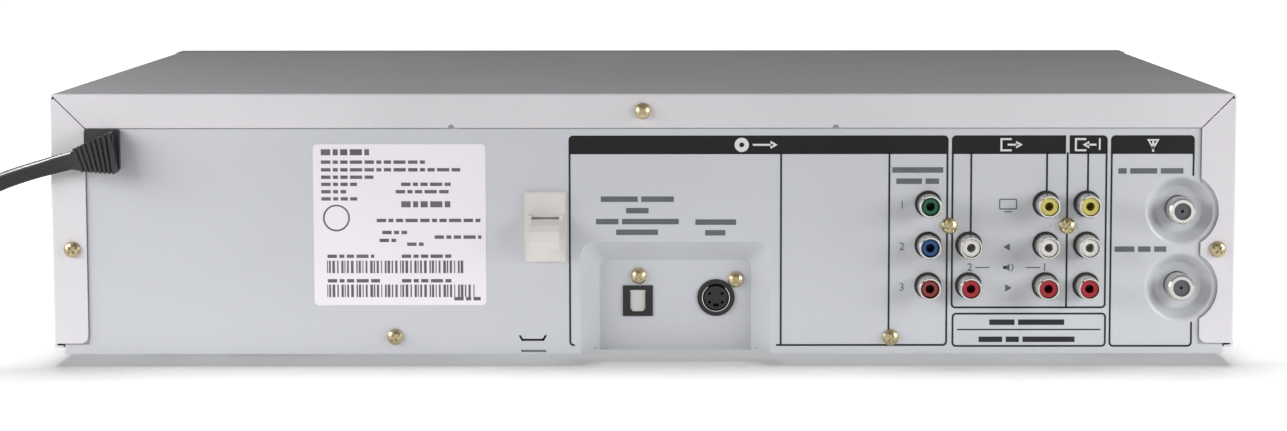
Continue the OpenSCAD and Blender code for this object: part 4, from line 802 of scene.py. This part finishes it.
def inAerialCore(spot):
    return spot.y > aerialPlan["coreFrom"] and any(
        math.hypot(spot.x - aerialPlan["across"], spot.z - row) < aerialPlan["core"]
        for row in aerialPlan["rows"])


dressPart("f_connectors", finishes["aerial_core"], inAerialCore)
dressPart("power_plug", finishes["nickel"], lambda spot: spot.y < plugPlan["bladesTo"])

# Node, finish, and lowest and highest corner (mm) of the boxes whose faces take it
insidePlan = {
    "power_parts": {
        "turned_aluminium": [((159, 103, 0), (197, 115, 60))],
        "sleeve_vinyl": [((170, 72, 0), (194, 96, 60)), ((93, 77, 0), (107, 106, 60))],
        "tinplate": [((170, 72, 48), (194, 96, 60)), ((93, 77, 33), (107, 106, 60))],
        "nylon": [((175, 116, 0), (193, 125, 60))],
        "cast_metal": [((111, 89, 0), (117.9, 107, 60)), ((150.1, 89, 0), (157, 107, 60))],
    },
    "dvd_board": {
        "black_plastic": [((71, -45, 37.8), (147, -19, 45))],
        "ivory_acetal": [((95, 1, 37.8), (125, 8, 45))],
        "steel": [((60, -70, 0), (160, 10, 35.9))],
    },
    "main_board": {
        "black_plastic": [
            ((69, -41, 13.7), (161, -11, 20)), ((21, -81, 13.7), (41, -65, 20)),
            ((-71, 95, 13.7), (-49, 113, 20))],
        "sleeve_vinyl": [
            ((10, 16, 13.7), (63, 24, 40)), ((105, 39, 13.7), (163, 49, 40)),
            ((-92, 84, 13.7), (-66, 92, 40))],
        "tinplate": [
            ((10, 16, 23), (63, 24, 40)), ((105, 39, 23), (163, 49, 40)),
            ((-92, 84, 23), (-66, 92, 40))],
        "ivory_acetal": [
            ((59, -101, 13.7), (153, -93, 30)), ((95, 27, 13.7), (125, 34, 30)),
            ((-105, 73, 13.7), (-75, 81, 30))],
        "steel": [((-209, -107, 0), (207, 121, 11.9))],
    },
}
for node, plan in insidePlan.items():
    for name, boxes in plan.items():
        for low, high in boxes:
            dressPart(node, finishes[name],
                      lambda spot: all(a <= v <= b for a, v, b in zip(low, spot, high)))

corePlan = {
    "tones": {"yellow": srgb(214, 204, 112), "white": srgb(232, 230, 226), "red": srgb(168, 44, 54),
              "green": srgb(40, 96, 72), "blue": srgb(44, 82, 136), "brick": srgb(142, 60, 56)},
    "columns": {-103.4: ("green", "blue", "brick"), -118.2: ("green", "white", "red"),
                -146.2: ("yellow", "white", "red"), -161: ("yellow", "white", "red")},
    "rowLimits": (51.7, 36.7),
    "finish": dict(rough=0.34, mottle=120, specks=0.5, change=0.05, bump=0.006, dust=0.04, gloss=0.4),
    "front": {-186: "yellow", -168: "white", -150: "red"},
}


# Each insulator takes the colour of its channel
def dressCores(plan):
    mesh = nodes["rca_cores"].data
    mesh.materials.clear()
    order = sorted(plan["tones"])
    for tone in order:
        mesh.materials.append(makeFinish("core_" + tone, plan["tones"][tone], **plan["finish"]))
    for face in mesh.polygons:
        spot = face.center / mm
        if spot.y > 0:
            column = min(plan["columns"], key=lambda x: abs(x - spot.x))
            row = sum(spot.z <= limit for limit in plan["rowLimits"])
            tone = plan["columns"][column][row]
        else:
            tone = plan["front"][min(plan["front"], key=lambda x: abs(x - spot.x))]
        face.material_index = order.index(tone)


dressCores(corePlan)
print("finishes made:", len(finishes))

# As one looks at the rear, x falls from left to right
printPlan = {
    "panelY": 132.0,
    "film": 0.05,  # ink stands this far proud
    "line": 0.7,
    "round": 1.6,
    "barTop": 84.2,
    "barLow": 77.4,
    # left, right, which ends are round
    "bars": [(27.2, -110.6, "both"), (-111.8, -153.2, "left"), (-154.5, -168.3, "right"),
             (-169.5, -199.9, "both")],
    # boxes under the bars: left, right, bottom
    "tapeBox": (-111.8, -168.3, 20.9),
    "aerialBox": (-169.5, -199.9, 6.7),
    "discBox": (27.2, -110.6, 7.1),
    "boxTop": 77.6,
    "dishes": (15.9, 69.4),  # the aerial box's right line stops between these heights
    "pocket": (25.2, -48.2),  # and the disc box's foot between its left and right side
    # lines down: x, top, bottom
    "drops": [(-49.9, 78, 7.1), (-89.2, 78, 7.1), (-118.9, 78, 48.6), (-146.4, 78, 63.6),
              (-161.3, 78, 63.6), (-153.85, 78, 21.2)],
    "noteBox": (-112.2, 6.7, -168.5, 19.3),
    "noteRule": (12.85, 13.35, 2),  # bottom, top, gap at its ends
}


# Stands a flat primitive up, so that it looks to the rear (1) or to the front (-1)
def upright(facing):
    return math.pi / 2, 0, math.pi if facing > 0 else 0


# A plane between two corners
def addFlat(x0, z0, x1, z1, y, facing=1):
    dropSelection()
    bpy.ops.mesh.primitive_plane_add(size=1, rotation=upright(facing),
                                     location=((x0 + x1) / 2 * mm, y * mm, (z0 + z1) / 2 * mm))
    flat = bpy.context.object
    flat.scale = (abs(x1 - x0) * mm, abs(z1 - z0) * mm, 1)
    return settle(flat, "flat")


# A plane about its middle, with half its width and half its height
def addPad(x, z, half, tall, y, facing=1):
    return addFlat(x - half, z - tall, x + half, z + tall, y, facing)


def pickVerts(piece, test):
    for part in list(piece.data.polygons) + list(piece.data.edges):
        part.select = False
    for vert in piece.data.vertices:
        vert.select = test(vert.co / mm)


def roundCorners(piece, radius, test=lambda p: True, steps=4):
    takeUp(piece)
    pickVerts(piece, test)
    bpy.ops.object.mode_set(mode="EDIT")
    bpy.ops.mesh.select_mode(type="VERT")
    bpy.ops.mesh.bevel(offset=radius * mm, segments=steps, affect="VERTICES")
    closeMesh()


# Leaves a line of that width along the edge of a flat face
def hollowOut(piece, wall):
    openMesh(piece)
    bpy.ops.mesh.inset(thickness=wall * mm)
    bpy.ops.mesh.delete(type="FACE")
    closeMesh()


# Cuts away what lies on the side that normal points to
def cutFlat(piece, point, normal):
    openMesh(piece)
    bpy.ops.mesh.bisect(plane_co=[v * mm for v in point], plane_no=normal, clear_outer=True)
    closeMesh()


def addCopy(piece):
    takeUp(piece)
    bpy.ops.object.duplicate()
    return bpy.context.object


def addRound(x, z, y, radius, hole=0.0, sides=32, facing=1):
    dropSelection()
    bpy.ops.mesh.primitive_circle_add(vertices=sides, radius=radius * mm, fill_type="NGON",
                                      location=(x * mm, y * mm, z * mm), rotation=upright(facing))
    disc = settle(bpy.context.object, "disc")
    if hole:
        hollowOut(disc, radius - hole)
    return disc


# Solid triangle that points up, down, left or right as one looks at it
def addArrow(x, z, y, size, heading, facing=1):
    dropSelection()
    turn = {"up": 0, "left": 90, "down": 180, "right": -90}[heading]
    bpy.ops.mesh.primitive_circle_add(vertices=3, radius=size * mm, fill_type="NGON")
    tip = bpy.context.object
    spin = Matrix.Rotation(upright(facing)[2], 4, "Z") @ Matrix.Rotation(math.pi / 2, 4, "X")
    tip.matrix_world = (Matrix.Translation((x * mm, y * mm, z * mm)) @ spin
                        @ Matrix.Rotation(math.radians(turn), 4, "Z"))
    return settle(tip, "arrow")


def addDigit(text, x, z, y, size, facing=1):
    dropSelection()
    bpy.ops.object.text_add(location=(x * mm, y * mm, z * mm), rotation=upright(facing))
    sign = bpy.context.object
    sign.data.body = text
    sign.data.align_x = "CENTER"
    sign.data.align_y = "CENTER"
    sign.data.size = size * mm
    sign.data.resolution_u = 3
    bpy.ops.object.convert(target="MESH")
    return settle(bpy.context.object, "digit")


# One printed piece of all the flat parts, with the thickness of its film
def joinFlats(parts, name, film, ink, body="cabinet", facing=1):
    takeUp(parts[0])
    for part in parts:
        part.select_set(True)
    if len(parts) > 1:
        bpy.ops.object.join()
    sheet = settle(parts[0], name)
    openMesh(sheet)
    bpy.ops.mesh.extrude_region_move(TRANSFORM_OT_translate={"value": (0, facing * film * mm, 0)})
    faceOutwards()
    closeMesh()
    dress(sheet, finishes[ink])
    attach(sheet, body)


def printBars(plan):
    top = plan["barTop"] - 0.1
    bars = []
    for left, right, ends in plan["bars"]:
        bar = addFlat(right, plan["barLow"], left, plan["barTop"], plan["panelY"])
        middle = (left + right) / 2
        roundCorners(bar, plan["round"], lambda p: p.z > top and (
            ends == "both" or (ends == "left") == (p.x > middle)))
        bars.append(bar)
    joinFlats(bars, "print_bars", plan["film"], "black_ink")


# Outline with a round corner at each side of its foot, open under the bar
def addBox(plan, left, right, bottom):
    outline = addFlat(right, bottom, left, plan["barTop"], plan["panelY"])
    roundCorners(outline, plan["round"], lambda p: p.z < bottom + 0.1)
    hollowOut(outline, plan["line"])
    cutFlat(outline, (0, plan["panelY"], plan["boxTop"]), (0, 0, 1))
    return outline


def printLines(plan):
    y, wide = plan["panelY"], plan["line"]
    tapeBox = addBox(plan, *plan["tapeBox"])
    # The right side of the aerial box stops for the dishes
    aerialBox = addBox(plan, *plan["aerialBox"])
    right = plan["aerialBox"][1]
    low, high = plan["dishes"]
    foot = addCopy(aerialBox)
    cutFlat(foot, (0, y, low), (0, 0, 1))
    cutFlat(aerialBox, (right + 5, y, 0), (-1, 0, 0))
    cutFlat(aerialBox, (0, y, low), (0, 0, -1))
    parts = [tapeBox, aerialBox, foot, addFlat(right, high, right + wide, plan["boxTop"], y)]
    # The foot of the disc box stops for the pocket
    discBox = addBox(plan, *plan["discBox"])
    left = addCopy(discBox)
    cutFlat(left, (plan["pocket"][0], y, 0), (-1, 0, 0))
    cutFlat(discBox, (plan["pocket"][1], y, 0), (1, 0, 0))
    parts += [discBox, left]
    for x, top, bottom in plan["drops"]:
        parts.append(addFlat(x - wide / 2, bottom, x + wide / 2, top, y))
    x0, z0, x1, z1 = plan["noteBox"]
    note = addFlat(x1, z0, x0, z1, y)
    roundCorners(note, plan["round"])
    hollowOut(note, wide)
    bottom, top, gap = plan["noteRule"]
    parts += [note, addFlat(x1 + gap, bottom, x0 - gap, top, y)]
    joinFlats(parts, "print_lines", plan["film"], "line_ink")


signPlan = {
    "height": 80.8,  # middle of the signs on the bars
    "stroke": 0.7,
    "disc": (-35.6, 2.6, 0.9),  # x, radius, hole
    "discArrow": (-39.6, -48.6, 1.7),  # start, end, head
    # out and in: middle of the box, start and end of the arrow from there
    "boxes": [(-132.6, 0.6, -4.9), (-159.6, -4.6, 0.4)],
    "boxSides": (2.2, 3.2, 2.4),  # from its middle: right, left, up and down
    "boxOpen": 0.9,
    "boxHead": 1.6,
    "number": ("1", -165.4, 6.2),  # text, x, size
    "aerial": (-184.8, 2.6),
}


# Arrow along x: shaft and head
def addShaft(start, end, z, y, stroke, head, facing=1):
    heading = "right" if (end < start) == (facing > 0) else "left"
    step = math.copysign(1, end - start)
    return [addFlat(start, z - stroke / 2, end - step * head, z + stroke / 2, y, facing),
            addArrow(end - step * head, z, y, head, heading, facing)]


def printSigns(plan, film):
    y = printPlan["panelY"] + film
    z = plan["height"]
    stroke = plan["stroke"]
    x, radius, hole = plan["disc"]
    start, end, head = plan["discArrow"]
    parts = [addRound(x, z, y, radius, hole)] + addShaft(start, end, z, y, stroke, head)
    right, left, half = plan["boxSides"]
    for middle, start, end in plan["boxes"]:
        box = addFlat(middle - right, z - half, middle + left, z + half, y)
        hollowOut(box, stroke)
        cutFlat(box, (middle - plan["boxOpen"], y, 0), (-1, 0, 0))
        parts.append(box)
        parts += addShaft(middle + start, middle + end, z, y, stroke, plan["boxHead"])
    text, x, size = plan["number"]
    parts.append(addDigit(text, x, z, y, size))
    x, size = plan["aerial"]
    cup = addArrow(x, z + 0.7, y, size, "down")
    hollowOut(cup, stroke * 0.8)
    parts += [cup, addFlat(x - stroke / 2, z - size, x + stroke / 2, z + 1.6, y)]
    joinFlats(parts, "print_signs", film, "white_ink")


wordPlan = {
    "tall": 2.0,
    "gap": 1.3,
    "words": [  # middle, height, lengths of the plain bars that stand for words
        (-99.5, 71.6, [18.5]), (-99.5, 67.5, [9.3, 4.9]), (2.3, 61.0, [13.4, 11.8]), (2.3, 56.8, [8.2]),
        (2.3, 52.8, [8.2, 20.6]), (2.4, 48.9, [15.2]), (-26.2, 52.6, [14.8]), (-26.0, 48.7, [7.3]),
        (-184.1, 71.2, [3.0, 9.8, 8.2]), (-180.7, 42.6, [7.2, 4.6, 4.4])],
    "notes": [(-139.6, 15.8, [9.2, 16.8]), (-139.6, 9.5, [8.6, 4.8, 19])],
    "digits": [("1", -93.9, 58.8), ("2", -93.9, 43.5), ("3", -93.9, 28.6), ("2", -118.7, 35.9),
               ("1", -145.9, 35.9)],
    "digitSize": 4.1,
    "dashes": [(-120.7, -125.9), (-138.9, -144.2)],
    "dashAt": 35.9,
    "middle": -132.4,
    "rows": (58.7, 43.4, 28.4),
}

# Plain bars in the place of words
def addWords(rows, plan, y, facing=1):
    parts = []
    half = plan["tall"] / 2
    for middle, z, lengths in rows:
        at = middle + facing * (sum(lengths) + plan["gap"] * (len(lengths) - 1)) / 2
        for length in lengths:
            parts.append(addFlat(at, z - half, at - facing * length, z + half, y, facing))
            at -= facing * (length + plan["gap"])
    return parts


# Screen on a foot
def addScreen(x, z, y, wide, tall, stroke, facing=1):
    foot = z - tall / 2 - 0.6
    screen = addPad(x, z + 0.4, wide / 2, tall / 2, y, facing)
    roundCorners(screen, 0.6)
    hollowOut(screen, stroke)
    return [screen, addFlat(x - wide * 0.2, foot, x + wide * 0.2, foot + stroke, y, facing)]


# Loudspeaker with one wave
def addSpeaker(x, z, y, size, facing=1):
    wave = addRound(x - facing * 0.3 * size, z, y, 1.15 * size, 0.9 * size, facing=facing)
    cutFlat(wave, (x - facing * 0.85 * size, y, 0), (facing, 0, 0))
    near, far, half = facing * 0.35 * size, facing * 1.1 * size, 0.42 * size
    box = addFlat(x + near, z - half, x + far, z + half, y, facing)
    return [wave, box, addArrow(x, z, y, size, "left", facing)]


def printWords(plan, film):
    y = printPlan["panelY"]
    parts = addWords(plan["words"], plan, y)
    for text, x, z in plan["digits"]:
        parts.append(addDigit(text, x, z, y, plan["digitSize"]))
    for start, end in plan["dashes"]:
        parts.append(addFlat(start, plan["dashAt"] - 0.2, end, plan["dashAt"] + 0.2, y))
    x = plan["middle"]
    high, left, right = plan["rows"]
    parts += addScreen(x, high, y, 6.6, 4, 0.45)
    parts += addSpeaker(x, plan["dashAt"], y, 1.5)
    parts += [addArrow(x, left, y, 1.6, "left"), addArrow(x, right, y, 1.6, "right")]
    joinFlats(parts, "print_words", film, "grey_ink")
    notes = addWords(plan["notes"], plan, y)
    joinFlats(notes, "print_notes", film, "line_ink")


labelPlan = {
    "box": (57.3, 22.2, 119.9, 81.1),
    "round": 1.6,
    "thick": 0.12,
    "ink": 0.03,
    "blocks": [(38.6, 38), (29.8, 41)],  # plain stripes: top, how many
    "stripesFrom": 115.2,
    "stripe": 4.6,
    "thin": 0.35,  # narrowest stripe and narrowest gap
    "ring": (111.6, 54.2, 4.9, 4.3),  # x, z, radius, hole
    # rows of short rules in the place of words: height, left, right
    "rows": [(78.2, 117, 99.5), (74.6, 117, 78), (71.8, 117, 66.5), (69.1, 117, 98), (66.5, 117, 104),
             (66.5, 88, 70), (63.8, 117, 108), (63.8, 90, 70), (61.2, 117, 104), (59.2, 88, 70.2),
             (53.3, 97, 58.4), (48.9, 95, 86), (46, 96, 90), (47.2, 76, 59), (44.6, 86, 80),
             (40.2, 115, 98), (40.2, 88, 70), (31.2, 115, 96), (31.2, 88, 70), (24.6, 69, 58.6)],
    "lengths": (3.4, 1.8, 2.6, 4.4),
    "gap": 0.9,
    "tall": 0.62,  # half the height of a rule
    "headings": {78.2: 1.1, 59.2: 1.1},
}


def makeLabel(plan):
    y = printPlan["panelY"]
    plate = addFlat(*plan["box"], y)
    roundCorners(plate, plan["round"])
    joinFlats([plate], "rear_label", plan["thick"], "label_film")
    rules = []
    face = y + plan["thick"]
    for top, count in plan["blocks"]:
        at = plan["stripesFrom"]
        for i in range(count):
            wide = plan["thin"] + 0.3 * ((i * 7) % 5) / 2
            rules.append(addFlat(at - wide, top - plan["stripe"], at, top, face))
            at -= wide + plan["thin"] + 0.22 * ((i * 5) % 4)
    for z, at, end in plan["rows"]:
        tall = plan["headings"].get(z, plan["tall"])
        i = 0
        while at > end + 1:
            wide = min(at - end, plan["lengths"][i % 4])
            rules.append(addFlat(at - wide, z - tall, at, z + tall, face))
            at -= wide + plan["gap"]
            i += 1
    x, z, radius, hole = plan["ring"]
    rules.append(addRound(x, z, face, radius, hole))
    joinFlats(rules, "label_rules", plan["ink"], "label_ink")


printBars(printPlan)
printLines(printPlan)
printSigns(signPlan, printPlan["film"])
printWords(wordPlan, printPlan["film"])
makeLabel(labelPlan)
print("rear printed")

ringPlan = {"at": (-26.4, 23.6), "from": 120.6, "to": 123.75, "outer": 5.14, "wall": 0.3,
            "gap": 36,  # degrees to each side of its top
            "rim": 0.06}


# Sprung contact ring in the groove of the S-video socket, open at the top
def makeContactRing(plan):
    x, z = plan["at"]
    dropSelection()
    bpy.ops.mesh.primitive_cylinder_add(
        vertices=60, radius=plan["outer"] * mm, depth=(plan["to"] - plan["from"]) * mm,
        end_fill_type="NOTHING", rotation=(math.pi / 2, 0, 0),
        location=(x * mm, (plan["from"] + plan["to"]) / 2 * mm, z * mm))
    ring = settle(bpy.context.object, "s_video_ring")
    pickVerts(ring, lambda p: abs(math.degrees(math.atan2(p.x - x, p.z - z))) < plan["gap"])
    bpy.ops.object.mode_set(mode="EDIT")
    bpy.ops.mesh.select_mode(type="VERT")
    bpy.ops.mesh.delete(type="VERT")
    faceOutwards()
    closeMesh()
    giveWall(ring, plan["wall"])
    rim = ring.modifiers.new("rim", "BEVEL")
    rim.width = plan["rim"] * mm
    rim.segments = 2
    bpy.ops.object.modifier_apply(modifier="rim")
    bpy.ops.object.shade_smooth_by_angle(angle=math.radians(40))
    dress(ring, finishes["nickel"])
    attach(ring, "cabinet")


makeContactRing(ringPlan)

keyPlan = {
    "film": 0.05,
    "keyY": -142.0,
    "keyZ": 41.0,
    "bezelY": -141.0,
    "faceY": -138.0,
    "size": 1.7,
    # node, x, sign
    "keys": [("eject_button", -186, "eject"), ("rewind_button", -164, "back"),
             ("tape_play_button", -142, "play"), ("forward_button", -120, "ahead"),
             ("record_button", -98, "record"), ("open_button", 98, "eject"),
             ("disc_play_button", 122, "play"), ("disc_stop_button", 146, "stop")],
    "power": (14.5, 75.0, -139.0),
    "powerRing": (2.5, 2.0, 1.9),  # radius, hole, where it is cut off
    "powerBar": (0.28, 0.2, 2.7),  # half its width, foot, top
    "wordsZ": 34.1,
    "words": {"tall": 1.0, "gap": 0.8},
    "jacks": (-186, -168, -150),
    "jackSignZ": 31.3,
    "tapeSign": (-196.5, 71.5),
    "tapeShell": (4, 2.3),
    "tapeHub": (1.7, 0.95, 0.5),  # from the middle, radius, hole
    "discSign": (174.5, 77),
    "discRings": [(2.4, 2.0), (0.9, 0.5)],
}


def keySign(kind, x, z, y, size):
    if kind == "play":
        return [addArrow(x, z, y, size, "right", -1)]
    if kind == "stop":
        return [addPad(x, z, 0.75 * size, 0.75 * size, y, -1)]
    if kind == "record":
        return [addRound(x, z, y, 0.85 * size, facing=-1)]
    if kind == "eject":
        half, top, thick = 0.87 * size, z - 0.45 * size, 0.35 * size
        return [addArrow(x, z + 0.3 * size, y, size, "up", -1),
                addFlat(x - half, top - thick, x + half, top, y, -1)]
    heading, side = ("left", -1) if kind == "back" else ("right", 1)
    return [addArrow(x + step * 0.75 * size, z, y, size, heading, -1) for step in (side, -side)]


# Signs on the keys, each on its own key's body
def printKeys(plan):
    film = plan["film"]
    for node, x, kind in plan["keys"]:
        parts = keySign(kind, x, plan["keyZ"], plan["keyY"], plan["size"])
        ink = "red_ink" if kind == "record" else "line_ink"
        joinFlats(parts, node + "_sign", film, ink, node, -1)
    x, z, y = plan["power"]
    radius, hole, cut = plan["powerRing"]
    ring = addRound(x, z, y, radius, hole, facing=-1)
    cutFlat(ring, (0, y, z + cut), (0, 0, 1))
    half, foot, top = plan["powerBar"]
    bar = addFlat(x - half, z + foot, x + half, z + top, y, -1)
    joinFlats([ring, bar], "power_button_sign", film, "line_ink", "power_button", -1)


# Cassette: frame and two hubs; disc: two rings
def printFront(plan):
    film = plan["film"]
    y = plan["bezelY"]
    rows = [(x, plan["wordsZ"], [7.5 if i % 2 else 9.5]) for i, (_, x, _) in enumerate(plan["keys"])]
    parts = addWords(rows, plan["words"], y, -1)
    left, middle, right = plan["jacks"]
    z = plan["jackSignZ"]
    parts += addScreen(left, z, y, 3.4, 2, 0.3, -1)
    parts += [addArrow(middle, z, y, 1.1, "left", -1), addArrow(right, z, y, 1.1, "right", -1)]
    joinFlats(parts, "print_front", film, "grey_ink", "cabinet", -1)
    y = plan["faceY"]
    x, z = plan["tapeSign"]
    shell = addPad(x, z, *plan["tapeShell"], y, -1)
    roundCorners(shell, 0.6)
    hollowOut(shell, 0.4)
    away, radius, hole = plan["tapeHub"]
    hubs = [addRound(x + side * away, z, y, radius, hole, facing=-1) for side in (-1, 1)]
    joinFlats([shell] + hubs, "print_flap", film, "grey_ink", "flap", -1)
    x, z = plan["discSign"]
    disc = [addRound(x, z, y, radius, hole, facing=-1) for radius, hole in plan["discRings"]]
    joinFlats(disc, "print_fascia", film, "grey_ink", "tray", -1)


printKeys(keyPlan)
printFront(keyPlan)
print("front printed")

low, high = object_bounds()
